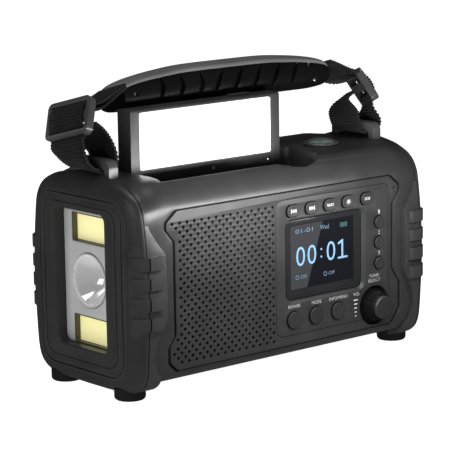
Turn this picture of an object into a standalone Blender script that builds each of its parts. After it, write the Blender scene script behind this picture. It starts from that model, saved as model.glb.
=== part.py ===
"""Emergency radio: a lantern flap, lamp end, control face and carrying handle. Metres, +Z up, front at -Y."""

import math

import bmesh
import bpy
from mathutils import Matrix, Vector

MM = 0.001
GAP = 0.3  # clearance between neighbours, mm

# Driving dimensions, mm
SHELL_DEPTH = 46.5  # half depth of the mid-body
SHELL_END = 98.5
SEAM = 99.3
SEAM_GAP = 0.3  # half width of the seam
END_FACE = 107.0
END_DEPTH = 50.3
WALL = 3.5
SPLIT_Y = 16.0
FACE_Z0, FACE_Z1 = 15.0, 102.0
PANEL_THICK = 1.7
HINGE = (1.0, 115.6)  # flap axis, y and z
FLAP_FRONT, FLAP_REAR, FLAP_TOP = -10.3, 0.9, 150.8
FLAP_X0, FLAP_X1 = -78.5, 27.0
HANDLE_Z = 123.0
HANDLE_LEAN = 15.0
CRANK = (-40.0, 60.0)  # x and z
GEAR_TEETH, PINION_TEETH, MODULE = 36, 12, 1.5
KNOB = (65.7, 28.0)
SPEAKER = (-43.0, 57.0)
ANTENNA = (83.0, 104.0)
COMPASS = (60.8, -7.9)

SHELL_MID = [(0, 8), (36, 8.1), (42, 9.9), (45, 12.8), (46.5, 17.5), (46.5, 60), (46.5, 98), (46.2, 102),
             (45.2, 105.5), (43.3, 109), (40.6, 112.2), (37.2, 115), (32.8, 117.1), (20, 117.3), (0, 117.3)]
SHELL_TIP = [(0, 8), (36, 8.1), (42, 9.9), (45, 12.8), (46.5, 17.5), (46.5, 60), (46.3, 94), (45.7, 100.5),
             (44.6, 103.8), (42.3, 107.7), (39, 110.7), (35.6, 112.7), (31.6, 114.4), (20, 117.2), (0, 118.2)]
BUMPER = [(0, 3.2), (22, 3.4), (30, 3.8), (37, 4.9), (42, 7.2), (45.8, 11), (47.8, 17), (48.8, 30), (49.5, 41), (50.3, 59),
          (49.1, 78), (47.2, 94), (46.2, 100.5), (45, 104), (42.7, 108), (39.4, 111), (36, 113), (32, 114.7),
          (27.7, 116.3), (20, 117.8), (10, 119.3), (0, 119.8)]
# Inner edge of a bumper: half length at each height
BUMPER_EDGE = [(-5, 89.4), (14, 89.4), (17, 92.7), (24, 95.5), (32, 94.3), (40, 90.3), (45, 87), (80, 87),
               (86, 91.7), (93, 96), (96, 96.6), (97, 110), (130, 110)]
PANEL = [(-78.5, 102), (78.5, 102), (86, 96), (86, 92), (80.4, 85.5), (80.4, 47.3), (86.2, 38.8), (86.2, 24),
         (79.4, 14.7), (-79.4, 14.7), (-84.7, 19.6), (-84.7, 28.6), (-80.4, 34), (-80.4, 85.5), (-86, 92),
         (-86, 96)]
RIBS = [(79.5, 72.9), (68.6, 62.2), (58.1, 51.3), (47.4, 40.5)]

for old in list(bpy.data.objects):
    bpy.data.objects.remove(old, do_unlink=True)
PARTS = bpy.data.collections.new("emergency_radio")
CUTTERS = bpy.data.collections.new("cutters")
for group in (PARTS, CUTTERS):
    bpy.context.scene.collection.children.link(group)


def paint(obj, colour, rough=0.5, metal=0.0):
    material = bpy.data.materials.new(obj.name)
    material.use_nodes = True
    shader = material.node_tree.nodes["Principled BSDF"]
    shader.inputs["Base Color"].default_value = (*colour, 1)
    shader.inputs["Roughness"].default_value = rough
    shader.inputs["Metallic"].default_value = metal
    obj.data.materials.clear()
    obj.data.materials.append(material)


def place(name, mesh, part):
    obj = bpy.data.objects.new(name, mesh)
    (PARTS if part else CUTTERS).objects.link(obj)
    if not part:
        obj.hide_render = True
        obj.display_type = "WIRE"
    return obj


def from_bmesh(name, bm, part):
    bmesh.ops.remove_doubles(bm, verts=bm.verts, dist=1e-7)
    bmesh.ops.recalc_face_normals(bm, faces=bm.faces)
    mesh = bpy.data.meshes.new(name)
    bm.to_mesh(mesh)
    bm.free()
    return place(name, mesh, part)


def block(name, lo, hi, part=True):
    bm = bmesh.new()
    bmesh.ops.create_cube(bm, size=1)
    for v in bm.verts:
        v.co = Vector(((lo[i] + hi[i]) / 2 + v.co[i] * (hi[i] - lo[i])) * MM for i in range(3))
    return from_bmesh(name, bm, part)


PLANES = {"xz": Matrix(((1, 0, 0), (0, 0, -1), (0, 1, 0))), "yz": Matrix(((0, 0, 1), (1, 0, 0), (0, 1, 0))),
          "xy": Matrix.Identity(3)}
NORMAL = {"xz": 1, "yz": 0, "xy": 2}


def prism(name, plane, loops, start, end, part=True):
    """Fills the flat loops (the later ones are holes) and extrudes them from start to end along the normal."""
    curve = bpy.data.curves.new(name, "CURVE")
    curve.dimensions = "2D"
    curve.fill_mode = "BOTH"
    curve.extrude = abs(end - start) / 2 * MM
    for loop in loops:
        spline = curve.splines.new("POLY")
        spline.points.add(len(loop) - 1)
        for point, (a, b) in zip(spline.points, loop):
            point.co = (a * MM, b * MM, 0, 1)
        spline.use_cyclic_u = True
    holder = bpy.data.objects.new(name + "_outline", curve)
    CUTTERS.objects.link(holder)
    bpy.context.view_layer.update()
    mesh = bpy.data.meshes.new_from_object(holder.evaluated_get(bpy.context.evaluated_depsgraph_get()))
    bpy.data.objects.remove(holder)
    bm = bmesh.new()
    bm.from_mesh(mesh)
    bmesh.ops.transform(bm, matrix=PLANES[plane].to_4x4(), verts=bm.verts)
    shift = Vector((0, 0, 0))
    shift[NORMAL[plane]] = (start + end) / 2 * MM
    bmesh.ops.translate(bm, vec=shift, verts=bm.verts)
    return from_bmesh(name, bm, part)


def rounded(points, radius, steps=5):
    """The closed polygon with each corner replaced by an arc."""
    out = []
    count = len(points)
    for i, corner in enumerate(points):
        p = Vector(corner)
        a, b = Vector(points[i - 1]) - p, Vector(points[(i + 1) % count]) - p
        la, lb = a.length, b.length
        a.normalize()
        b.normalize()
        half = a.angle(b) / 2
        reach = min(radius / math.tan(half), la * 0.45, lb * 0.45)
        centre = p + (a + b).normalized() * (reach / math.cos(half))
        first, last = p + a * reach - centre, p + b * reach - centre
        turn = first.angle_signed(last)
        for k in range(steps + 1):
            angle = -turn * k / steps
            c, s = math.cos(angle), math.sin(angle)
            out.append((centre.x + first.x * c - first.y * s, centre.y + first.x * s + first.y * c))
    return out


def rect(a0, b0, a1, b1, radius=0.0, steps=5):
    corners = [(a0, b0), (a1, b0), (a1, b1), (a0, b1)]
    return rounded(corners, radius, steps) if radius else corners


def circle(a, b, radius, count=28):
    return [(a + radius * math.cos(2 * math.pi * k / count), b + radius * math.sin(2 * math.pi * k / count))
            for k in range(count)]


def cylinder(name, centre, radius, start, end, axis, part=True, count=28):
    plane = {"x": "yz", "y": "xz", "z": "xy"}[axis]
    bm = bmesh.new()
    bmesh.ops.create_cone(bm, cap_ends=True, segments=count, radius1=radius * MM, radius2=radius * MM,
                          depth=(end - start) * MM)
    bmesh.ops.transform(bm, matrix=PLANES[plane].to_4x4(), verts=bm.verts)
    where = {"x": ((start + end) / 2, *centre), "y": (centre[0], (start + end) / 2, centre[1]),
             "z": (*centre, (start + end) / 2)}[axis]
    bmesh.ops.translate(bm, vec=Vector(where) * MM, verts=bm.verts)
    return from_bmesh(name, bm, part)


def turned(name, profile, centre, axis, part=True, steps=28, flip=False):
    """Screws a closed profile of (radius, position along the axis) round the axis through the centre."""
    area = sum(a[0] * b[1] - b[0] * a[1] for a, b in zip(profile, profile[1:] + profile[:1]))
    if area > 0:
        profile = profile[::-1]
    mesh = bpy.data.meshes.new(name)
    edges = [(i, (i + 1) % len(profile)) for i in range(len(profile))]
    if min(r for r, _ in profile) == 0:
        edges = edges[:-1]
    mesh.from_pydata([(r * MM, 0, h * MM) for r, h in profile], edges, [])
    obj = place(name, mesh, part)
    screw = obj.modifiers.new("turn", "SCREW")
    screw.steps = screw.render_steps = steps
    screw.use_merge_vertices = True
    screw.merge_threshold = 0.00001
    screw.use_normal_calculate = True
    screw.use_normal_flip = flip
    turn = {"z": Matrix.Identity(4), "x": Matrix.Rotation(math.pi / 2, 4, "Y"),
            "y": Matrix.Rotation(-math.pi / 2, 4, "X")}[axis]
    obj.matrix_world = Matrix.Translation(Vector(centre) * MM) @ turn
    return obj


def loft(name, rings, part=True):
    bm = bmesh.new()
    rows = [[bm.verts.new(Vector(p) * MM) for p in ring] for ring in rings]
    for low, high in zip(rows, rows[1:]):
        for i in range(len(low)):
            j = (i + 1) % len(low)
            bm.faces.new((low[i], low[j], high[j], high[i]))
    bmesh.ops.triangulate(bm, faces=bm.faces)
    bm.faces.new(rows[0])
    bm.faces.new(rows[-1])
    return from_bmesh(name, bm, part)


def combine(obj, other, operation):
    modifier = obj.modifiers.new(other.name, "BOOLEAN")
    modifier.operation = operation
    modifier.solver = "EXACT"
    modifier.object = other
    if other.name not in CUTTERS.objects:
        PARTS.objects.unlink(other)
        CUTTERS.objects.link(other)
        other.hide_render = True
        other.display_type = "WIRE"
    return obj


def cut(obj, *others):
    for other in others:
        combine(obj, other, "DIFFERENCE")
    return obj


def add(obj, *others):
    for other in others:
        combine(obj, other, "UNION")
    return obj


def soften(obj, width, segments=1, angle=40):
    modifier = obj.modifiers.new("edges", "BEVEL")
    modifier.width = width * MM
    modifier.segments = segments
    modifier.limit_method = "ANGLE"
    modifier.angle_limit = math.radians(angle)
    return obj


def smooth(obj):
    for polygon in obj.data.polygons:
        polygon.use_smooth = True
    return obj


def origin(obj, point):
    """Moves the object's origin to a point on its joint axis without moving its shape."""
    here = Vector(point) * MM
    if obj.matrix_world != Matrix.Identity(4):
        return obj
    obj.data.transform(Matrix.Translation(-here))
    obj.location = here
    return obj


def ring_of(half, x, grow=0.0, depth=1.0, top=None, bottom=None):
    """A closed section at x from its front-half points; depth scales Y, and top and bottom squeeze Z."""
    low, high = half[0][1], half[-1][1]
    middle = (low + high) / 2
    points = []
    for i, (y, z) in enumerate(half):
        before, after = half[max(i - 1, 0)], half[min(i + 1, len(half) - 1)]
        if i in (0, len(half) - 1):
            normal = Vector((0, -1 if i == 0 else 1))
        else:
            first = Vector((y - before[0], z - before[1])).normalized()
            second = Vector((after[0] - y, after[1] - z)).normalized()
            along = (first + second).normalized()
            normal = Vector((along.y, -along.x))
        y, z = y + normal.x * grow, z + normal.y * grow
        if top is not None:
            z = middle + (z - middle) * ((top - middle) / (high - middle) if z > middle else
                                         (middle - bottom) / (middle - low))
        points.append((y * depth, z))
    front = [(x, -y, z) for y, z in points]
    rear = [(x, y, z) for y, z in reversed(points[1:-1])]
    return front + rear


def shell_loft(name, grow, end, part=False):
    return loft(name, [ring_of(SHELL_TIP, -end, grow), ring_of(SHELL_MID, -86, grow), ring_of(SHELL_MID, 86, grow),
                       ring_of(SHELL_TIP, end, grow)], part)


# Mid-body: two shell halves with a pocket for the flap and a window for the lamp unit
pocket = rect(FLAP_X0 - 0.6, -35.9, FLAP_X1 + 0.6, 12.8)
pocket_cut = prism("pocket_cut", "xy", [pocket], 103.9, 130, part=False)
SCOOP = [(-3, -33.5), (4, -36.6), (12, -39.2), (20, -40.2), (28, -38.6), (34, -35.2), (36.5, -31), (38.5, -12),
         (38.8, -4), (25, -4), (25, -33.5)]
scoop_cut = prism("scoop_cut", "xy", [rounded(SCOOP, 1.5, 3)], 107, 130, part=False)
pocket_box = block("pocket_box", (-82, -43.5, 101.5), (53, 30, 140), part=False)
cavity = loft("cavity", [ring_of(SHELL_MID, x, -WALL) for x in (-95, 95)], part=False)
cut(cavity, pocket_box)
lamp_hole = prism("lamp_hole", "yz", [rect(-22.2, 24.1, 22.2, 99.2, 4)], -102, -92, part=False)
panel_hole = prism("panel_hole", "xz", [rounded(PANEL, 2)], -60, -44.6, part=False)
grille_hole = cylinder("grille_hole", SPEAKER, 30, -60, -38, "y", part=False)
control_hole = prism("control_hole", "xz", [rect(-4, 19.2, 75.8, 95.5, 2.5)], -60, -38, part=False)
compass_hole = cylinder("compass_hole", COMPASS, 9.6, 107, 130, "z", part=False)
compass_boss = cylinder("compass_boss", COMPASS, 12, 104, 116, "z", part=False)
cut(cavity, compass_boss)
lug_holes = []
for side, s in (("left", -1), ("right", 1)):
    for k, y in (("front", -15.6), ("rear", 15.6)):
        lug_holes.append(block(f"{side}_lug_hole_{k}", (s * 96 - 3.3, y - 2.3, 111.7), (s * 96 + 3.3, y + 2.3, 130),
                               part=False))
front_shell = shell_loft("front_shell", 0, SHELL_END, True)
rear_shell = shell_loft("rear_shell", 0, SHELL_END, True)
for shell, lo, hi in ((front_shell, SPLIT_Y - GAP / 2, 70), (rear_shell, -70, SPLIT_Y + GAP / 2)):
    away = block(shell.name + "_other_half", (-120, lo, -10), (120, hi, 140), part=False)
    cut(shell, away, cavity, lamp_hole)
cut(front_shell, pocket_cut, scoop_cut, panel_hole, grille_hole, control_hole, compass_hole)
cut(front_shell, lug_holes[0], lug_holes[2])
pin_holes = cylinder("pin_holes", HINGE, 1.35, FLAP_X0 - 3.2, FLAP_X1 + 3.2, "x", part=False, count=24)
cut(front_shell, pin_holes)
cut(front_shell, lug_holes[1], lug_holes[3])
cut(rear_shell, lug_holes[1], lug_holes[3])
well = cylinder("well", CRANK, 36, 36.5, 70, "y", part=False, count=64)
well_wall = cylinder("well_wall", CRANK, 38.5, 34, 70, "y", part=False, count=64)
cut(cavity, well_wall)
shaft_hole = cylinder("shaft_hole", CRANK, 4.3, 30, 40, "y", part=False)
boss = cylinder("antenna_boss", ANTENNA, 4.8, 43.5, 48.3, "y", part=False)
cut(rear_shell, well, shaft_hole)
add(rear_shell, boss)
for shell in (front_shell, rear_shell):
    paint(shell, (0.09, 0.09, 0.095), 0.55)

# End bumpers and end caps, with ribs across their seam
shell_room = shell_loft("shell_room", GAP, 101)
feet_at = [(s * 96.9, y) for s in (-1, 1) for y in (-28.4, 28.4)]
foot_rooms = [cylinder(f"foot_room_{i}", at, 8.75, -5, 7.3, "z", part=False) for i, at in enumerate(feet_at)]
END_STEPS = [0, 0.3, 0.55, 0.75, 0.88, 0.96, 1.0]


def end_sections(s):
    rings = [ring_of(BUMPER, s * 84), ring_of(BUMPER, s * SEAM)]
    for t in END_STEPS[1:]:
        fall = math.sqrt(1 - t * t)
        depth = (29.6 + 20.7 * fall) / END_DEPTH
        rings.append(ring_of(BUMPER, s * (SEAM + 7.7 * t), 0, depth, 108.8 + 11 * fall, 12.2 - 9 * fall))
    return rings


def end_solid(name, s, part):
    body = loft(name, end_sections(s), part)
    for i, (high, low) in enumerate(RIBS):
        outer = [(s * 89.9, -53), (s * 89.9, -47), (s * 100, -40), (s * 105.4, -40), (s * 105.4, -43.8),
                 (s * 103.6, -47.9), (s * 99.3, -51.5), (s * 95, -51.8)]
        outer[0] = (s * 90.4, -51.8)
        for k, sign in (("f", 1), ("r", -1)):
            shape = [(x, y * sign) for x, y in outer]
            rib = prism(f"{name}_rib_{i}{k}", "xy", [shape], low, high, part=False)
            add(body, rib)
    return body


for side, s in (("left", -1), ("right", 1)):
    inner = [(s * 0, -10), *[(s * x, z) for z, x in BUMPER_EDGE], (s * 0, 140)]
    contour = prism(f"{side}_contour", "xz", [inner], -70, 70, part=False)
    for kind, keep in (("bumper", (SEAM - SEAM_GAP, 140)), ("end_cap", (0, SEAM + SEAM_GAP))):
        piece = end_solid(f"{side}_{kind}", s, True)
        lo, hi = sorted((s * keep[0], s * keep[1]))
        away = block(f"{side}_{kind}_away", (lo, -80, -20), (hi, 80, 150), part=False)
        cut(piece, away)
        rooms = foot_rooms[:2] if s < 0 else foot_rooms[2:]
        cut(piece, *rooms)
        if kind == "bumper":
            cut(piece, shell_room, contour)
        else:
            groove = [rect(-36.5, 12.2, 36.5, 107.5, 11), rect(-35.3, 13.4, 35.3, 106.3, 10)]
            deep, out = sorted((s * 105.4, s * 112))
            cut(piece, prism(f"{side}_groove", "yz", groove, deep, out, part=False))
            window = rect(-22, 24.3, 22, 99, 4)
            if s < 0:
                cut(piece, prism("window", "yz", [window], -112, -90, part=False))
            else:
                cut(piece, prism("blind_window", "yz", [window], 104.5, 112, part=False))
        paint(piece, (0.06, 0.06, 0.063), 0.6)

for i, (at, name) in enumerate(zip(feet_at, ("left_front", "left_rear", "right_front", "right_rear"))):
    foot = cylinder(f"{name}_foot", at, 8.5, 0, 7, "z", count=20)
    soften(foot, 1.8, 2)
    paint(foot, (0.03, 0.03, 0.03), 0.8)

# Lamp unit in the left end
lamp_plate = prism("lamp_plate", "yz", [rect(-21.7, 24.6, 21.7, 98.7, 3.7)], -101, -95)
for i, z in enumerate((88.3, 32.3)):
    cut(lamp_plate, block(f"flood_pocket_{i}", (-110, -13.7, z - 7.95), (-96, 13.7, z + 7.95), part=False))
    name = ("upper", "lower")[i]
    flood = block(f"{name}_flood_panel", (-97, -13.4, z - 7.65), (-96.2, 13.4, z + 7.65))
    paint(flood, (0.95, 0.93, 0.6), 0.4)
cut(lamp_plate, cylinder("reflector_hole", (0, 60.3), 14.8, -110, -90, "x", part=False, count=48))
paint(lamp_plate, (0.7, 0.7, 0.7), 0.35)
reflector = turned("spot_reflector", [(3.6, 0), (5.5, 0.6), (9, 3), (12, 6.8), (13.9, 12), (13.9, 13.2), (14.6, 13.2),
                                      (14.6, 12), (12.8, 6.3), (9.5, 2.2), (5.8, -0.4), (3.6, -0.8)],
                   (-87.8, 0, 60.3), "x", steps=32, flip=True)
reflector.matrix_world = Matrix.Translation(Vector((-87.8, 0, 60.3)) * MM) @ Matrix.Rotation(-math.pi / 2, 4, "Y")
paint(reflector, (0.9, 0.9, 0.9), 0.08, 1.0)
spot = block("spot_led", (-89.4, -2.3, 58.0), (-87.2, 2.3, 62.6))
paint(spot, (0.95, 0.9, 0.5), 0.4)

# Front panel, control panel and screen
CONTROL = rect(-8.5, 21, 77.5, 97.2, 5)
PANEL_IN = rounded([(x * 0.993, 58.4 + (z - 58.4) * 0.987) for x, z in PANEL], 2)
front_panel = prism("front_panel", "xz", [PANEL_IN, rect(-8.8, 20.7, 77.8, 97.5, 5.3)], -46.5, -46.5 + PANEL_THICK)
paint(front_panel, (0.1, 0.1, 0.105), 0.5)
PILLS = [3.9, 17.6, 31.4, 45.2, 59.6]
PRESETS = [75.9, 64.1, 52.2]
PRESET_X = 69.1
LOWER = [3.9, 20.3, 37.0]
LOWER_Z = 29.4
holes = [rect(0, 40, 57, 84.9, 4)]
# each pill hole is a hair taller than the last, so that no two edges lie on one line
holes += [rect(x - 5.0, 86.9 - x * 0.001, x + 5.0, 94.3 + x * 0.001, 3.5, 5) for x in PILLS]
holes += [circle(PRESET_X, z, 3.85, 28) for z in PRESETS]
holes += [circle(x, LOWER_Z, 5.05, 32) for x in LOWER]
control_panel = prism("control_panel", "xz", [CONTROL, *holes], -46.5, -46.5 + PANEL_THICK)
knob_room = cylinder("knob_room", KNOB, 11.4, -60, -40, "y", part=False, count=36)
cut(control_panel, knob_room)
cut(front_panel, knob_room)
paint(control_panel, (0.1, 0.1, 0.105), 0.45)
window = prism("screen_window", "xz", [rect(0.3, 40.3, 56.7, 84.6, 3.7)], -44.6, -43.7)
paint(window, (0.02, 0.02, 0.022), 0.08)
lcd = block("display_module", (-1, -43.3, 39), (58, -40, 86))
cut(lcd, block("display_notch", (2, -41.2, 42), (55, -39, 83), part=False))
paint(lcd, (0.05, 0.06, 0.08), 0.3)
BUTTON_Y0, BUTTON_Y1 = -47.8, -41.4
for i, x in enumerate(PILLS):
    button = prism(f"function_button_{i + 1}", "xz", [rect(x - 4.6, 87.2, x + 4.6, 94.0, 3.3, 5)], BUTTON_Y0, -44.6)
    stem = cylinder(f"function_stem_{i}", (x, 90.6), 1.5, -46, BUTTON_Y1, "y", part=False, count=10)
    origin(soften(add(button, stem), 0.4), (x, BUTTON_Y0, 90.6))
    paint(button, (0.09, 0.09, 0.095), 0.5)
for i, z in enumerate(PRESETS):
    button = cylinder(f"preset_button_{i + 1}", (PRESET_X, z), 3.5, BUTTON_Y0, -44.6, "y")
    stem = cylinder(f"preset_stem_{i}", (PRESET_X, z), 1.5, -46, BUTTON_Y1, "y", part=False, count=10)
    origin(soften(add(button, stem), 0.4), (PRESET_X, BUTTON_Y0, z))
    paint(button, (0.09, 0.09, 0.095), 0.5)
for x, name in zip(LOWER, ("power", "mode", "menu")):
    button = cylinder(f"{name}_button", (x, LOWER_Z), 4.7, BUTTON_Y0, -44.6, "y")
    stem = cylinder(f"{name}_stem", (x, LOWER_Z), 1.5, -46, BUTTON_Y1, "y", part=False, count=10)
    origin(soften(add(button, stem), 0.4), (x, BUTTON_Y0, LOWER_Z))
    paint(button, (0.08, 0.08, 0.085), 0.5)

# Ring, knob and encoder
KX, KZ = KNOB
flutes = []
for k in range(36):
    a = 2 * math.pi * k / 36
    r = 9.0 if k % 2 else 8.55
    flutes.append((KX + r * math.cos(a), KZ + r * math.sin(a)))
volume_ring = prism("volume_ring", "xz", [flutes, circle(KX, KZ, 3.6, 24)], -53.4, -45.0)
knob_seat = cylinder("knob_seat", KNOB, 7.0, -60, -50.5, "y", part=False)
origin(soften(cut(volume_ring, knob_seat), 0.4), (KX, -45.0, KZ))
paint(volume_ring, (0.02, 0.02, 0.02), 0.35)
tuning_knob = cylinder("tuning_knob", KNOB, 6.7, -55.4, -51.1, "y")
knob_bore = cylinder("knob_bore", KNOB, 3.05, -54.0, -50, "y", part=False)
origin(soften(cut(tuning_knob, knob_bore), 0.5), (KX, -51.1, KZ))
paint(tuning_knob, (0.02, 0.02, 0.02), 0.35)
shaft = cylinder("encoder_shaft", KNOB, 3.0, -53.3, -41.3, "y")
origin(shaft, (KX, -46, KZ))
paint(shaft, (0.7, 0.7, 0.7), 0.3, 1.0)
encoder = block("encoder", (KX - 7, -43.7, KZ - 7), (KX + 7, -39.9, KZ + 7))
encoder_bore = cylinder("encoder_bore", KNOB, 3.06, -50, -40.3, "y", part=False, count=32)
cut(encoder, encoder_bore)
paint(encoder, (0.4, 0.4, 0.42), 0.4, 1.0)

# Inside: board, speaker, battery, dynamo
board = block("main_board", (-6, -39.4, 20), (78, -37.8, 97))
paint(board, (0.05, 0.25, 0.1), 0.5)
frame_profile = [(33, -42.6), (33, -40.6), (30.4, -40.4), (21, -30), (17, -27), (17, -18), (6, -18), (6, -27.6),
                 (15.8, -27.8), (20, -31), (28.6, -41), (28.6, -42.6)]
speaker = turned("speaker_frame", [(r, y) for r, y in frame_profile], (SPEAKER[0], 0, SPEAKER[1]), "y")
speaker.matrix_world = Matrix.Translation(Vector((SPEAKER[0], 0, SPEAKER[1])) * MM) @ Matrix.Rotation(-math.pi / 2, 4, "X")
paint(speaker, (0.3, 0.3, 0.3), 0.5)
cone_profile = [(0, -34.2), (13.6, -33.6), (26, -41.4), (26, -42.2), (28, -42.2), (28, -41.2), (14, -32.4), (0, -33.2)]
cone = turned("speaker_cone", cone_profile, (SPEAKER[0], 0, SPEAKER[1]), "y", flip=True)
paint(cone, (0.05, 0.05, 0.05), 0.8)
battery = prism("battery_pack", "yz", [rect(8, 28, 30, 72, 10.5, 8)], 14, 86)
paint(battery, (0.1, 0.2, 0.5), 0.4)


def gear_outline(cx, cz, teeth, phase):
    pitch = teeth * MODULE / 2
    points = []
    for k in range(teeth):
        mid = phase + 2 * math.pi * k / teeth
        step = 2 * math.pi / teeth
        for r, part_of in ((pitch - 1.7, -0.29), (pitch, -0.205), (pitch + 1.0, -0.1), (pitch + 1.0, 0.1),
                           (pitch, 0.205), (pitch - 1.7, 0.29)):
            a = mid + part_of * step
            points.append((cx + r * math.cos(a), cz + r * math.sin(a)))
    return points


CX, CZ = CRANK
crank_gear = prism("crank_gear", "xz", [gear_outline(CX, CZ, GEAR_TEETH, 0)], 25, 30)
crank_shaft = cylinder("crank_shaft", CRANK, 4.0, 29, 36.9, "y", part=False, count=32)
origin(add(crank_gear, crank_shaft), (CX, 30, CZ))
paint(crank_gear, (0.85, 0.85, 0.8), 0.5)
PX = CX + (GEAR_TEETH + PINION_TEETH) * MODULE / 2
pinion = prism("dynamo_pinion", "xz", [gear_outline(PX, CZ, PINION_TEETH, math.pi / PINION_TEETH)], 25, 30)
pinion_shaft = cylinder("pinion_shaft", (PX, CZ), 1.5, 18, 26, "y", part=False, count=24)
origin(add(pinion, pinion_shaft), (PX, 25, CZ))
paint(pinion, (0.8, 0.65, 0.3), 0.4, 1.0)
dynamo = cylinder("dynamo", (PX, CZ), 13, -4, 22, "y")
cut(dynamo, cylinder("dynamo_bore", (PX, CZ), 1.56, 16, 30, "y", part=False, count=24))
paint(dynamo, (0.6, 0.6, 0.62), 0.35, 1.0)
arm = prism("crank_arm", "xz", [rounded([(CX - 7, CZ + 8), (CX - 7, CZ - 30), (CX - 5, CZ - 34), (CX + 5, CZ - 34),
                                         (CX + 7, CZ - 30), (CX + 7, CZ + 8)], 4)], 37.4, 41.6)
crank_pin = cylinder("crank_pin", (CX, CZ - 27.5), 2.0, 41, 52, "y", part=False, count=24)
shaft_socket = cylinder("shaft_socket", CRANK, 2.2, 36, 38.6, "y", part=False, count=24)
origin(soften(add(arm, crank_pin), 0.5), (CX, 37.4, CZ))
paint(arm, (0.07, 0.07, 0.072), 0.5)
crank_knob = cylinder("crank_knob", (CX, CZ - 27.5), 6.4, 41.95, 55.4, "y", count=28)
knob_hole = cylinder("crank_knob_hole", (CX, CZ - 27.5), 2.06, 30, 53, "y", part=False, count=24)
origin(soften(cut(crank_knob, knob_hole), 0.5), (CX, 41.95, CZ - 27.5))
paint(crank_knob, (0.05, 0.05, 0.05), 0.5)

# Telescopic antenna on the rear shoulder
AX, AZ = ANTENNA
mast = cylinder("antenna_mast", ANTENNA, 4.6, 48.6, 53.0, "y", count=32)
mast_tube = cylinder("antenna_tube", (50.8, AZ), 2.2, -66, AX, "x", part=False, count=24)
mast_bore = cylinder("antenna_bore", (50.8, AZ), 1.4, -70, 62, "x", part=False, count=24)
origin(cut(add(mast, mast_tube), mast_bore), (AX, 50.8, AZ))
paint(mast, (0.85, 0.85, 0.86), 0.15, 1.0)
tip = cylinder("antenna_tip", (50.8, AZ), 1.33, -67, 60, "x", count=24)
tip_knob = cylinder("antenna_tip_knob", (50.8, AZ), 2.3, -69.6, -66.3, "x", part=False, count=24)
origin(add(tip, tip_knob), (-67, 50.8, AZ))
paint(tip, (0.9, 0.9, 0.9), 0.12, 1.0)

# Flap with its lamp panel and solar panel
HY, HZ = HINGE
section = [(FLAP_REAR, HZ), (FLAP_REAR, FLAP_TOP - 1.5), (FLAP_REAR - 1.5, FLAP_TOP), (FLAP_FRONT + 1.5, FLAP_TOP),
           (FLAP_FRONT, FLAP_TOP - 1.5)]
section += [(HY - 11.3 * math.cos(a), HZ - 11.3 * math.sin(a)) for a in [math.pi / 2 * k / 10 for k in range(11)]]
section += [(HY + 0.0, HZ - 2.2)]
flap = prism("flap_frame", "yz", [section], FLAP_X0, FLAP_X1)
knuckle = cylinder("knuckle", HINGE, 2.4, FLAP_X0, FLAP_X1, "x", part=False, count=24)
pins = cylinder("flap_pins", HINGE, 1.1, FLAP_X0 - 2.6, FLAP_X1 + 2.6, "x", part=False, count=24)
add(flap, knuckle, pins)
corner_keep = prism("flap_corners", "xz", [[(-90, 160), (90, 160), (90, 100), (-90, 100)],
                                           rounded([(-90 + 13, 90), (FLAP_X1, 90), (FLAP_X1, FLAP_TOP),
                                                    (FLAP_X0, FLAP_TOP)], 4)], -30, 30, part=False)
diffuser_hole = prism("diffuser_hole", "xz", [rect(FLAP_X0 + 6, 117.3, FLAP_X1 - 6, 149, 1.5)], -20, -7.6, part=False)
solar_hole = prism("solar_hole", "xz", [rect(FLAP_X0 + 6, 121, FLAP_X1 - 6, 147.4, 1)], -1.4, 10, part=False)
cut(flap, diffuser_hole, solar_hole)
origin(flap, (0, HY, HZ))
paint(flap, (0.13, 0.13, 0.135), 0.5)
diffuser = prism("lamp_diffuser", "xz", [rect(FLAP_X0 + 6.3, 117.6, FLAP_X1 - 6.3, 148.7, 1.3)], -9.9, -7.9)
origin(diffuser, (0, HY, HZ))
paint(diffuser, (0.95, 0.95, 0.95), 0.4)
solar = prism("solar_panel", "xz", [rect(FLAP_X0 + 6.3, 121.3, FLAP_X1 - 6.3, 147.1, 0.8)], -1.1, 0.7)
origin(solar, (0, HY, HZ))
paint(solar, (0.02, 0.03, 0.09), 0.15)

# Compass in the top
QX, QY = COMPASS
housing = turned("compass_housing", [(0, 107.6), (9.2, 107.6), (9.2, 117.4), (10.0, 117.6), (10.0, 118.2), (8.7, 118.2),
                                     (8.7, 116.0), (0.9, 116.0), (0, 117.0)], (QX, QY, 0), "z")
paint(housing, (0.2, 0.2, 0.2), 0.4)
card = cylinder("compass_card", COMPASS, 7.4, 117.2, 117.8, "z")
origin(card, (QX, QY, 117.2))
paint(card, (0.02, 0.25, 0.12), 0.5)
dome = [(0, 120.3), (2.4, 120.2), (4.7, 119.8), (6.7, 119.1), (7.7, 118.3), (7.7, 116.2), (8.4, 116.2),
                      (8.4, 118.6), (7.2, 119.7), (5, 120.5), (2.5, 120.9), (0, 121)]
cover = turned("compass_cover", dome, (QX, QY, 0), "z", flip=True)
paint(cover, (0.9, 0.95, 0.95), 0.05)

# Lugs, webbing, buckles and grip
LEAN = math.radians(HANDLE_LEAN)


def leaned(x, back, up):
    """A point of the handle: back runs through its thickness and up along its leaning height."""
    blend = min(max((up - 1.0) / 11.0, 0.0), 1.0)
    angle = LEAN * blend * blend * (3 - 2 * blend)
    return (x, back * math.cos(angle) + up * math.sin(angle), HANDLE_Z + up * math.cos(angle) - back * math.sin(angle))


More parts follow.
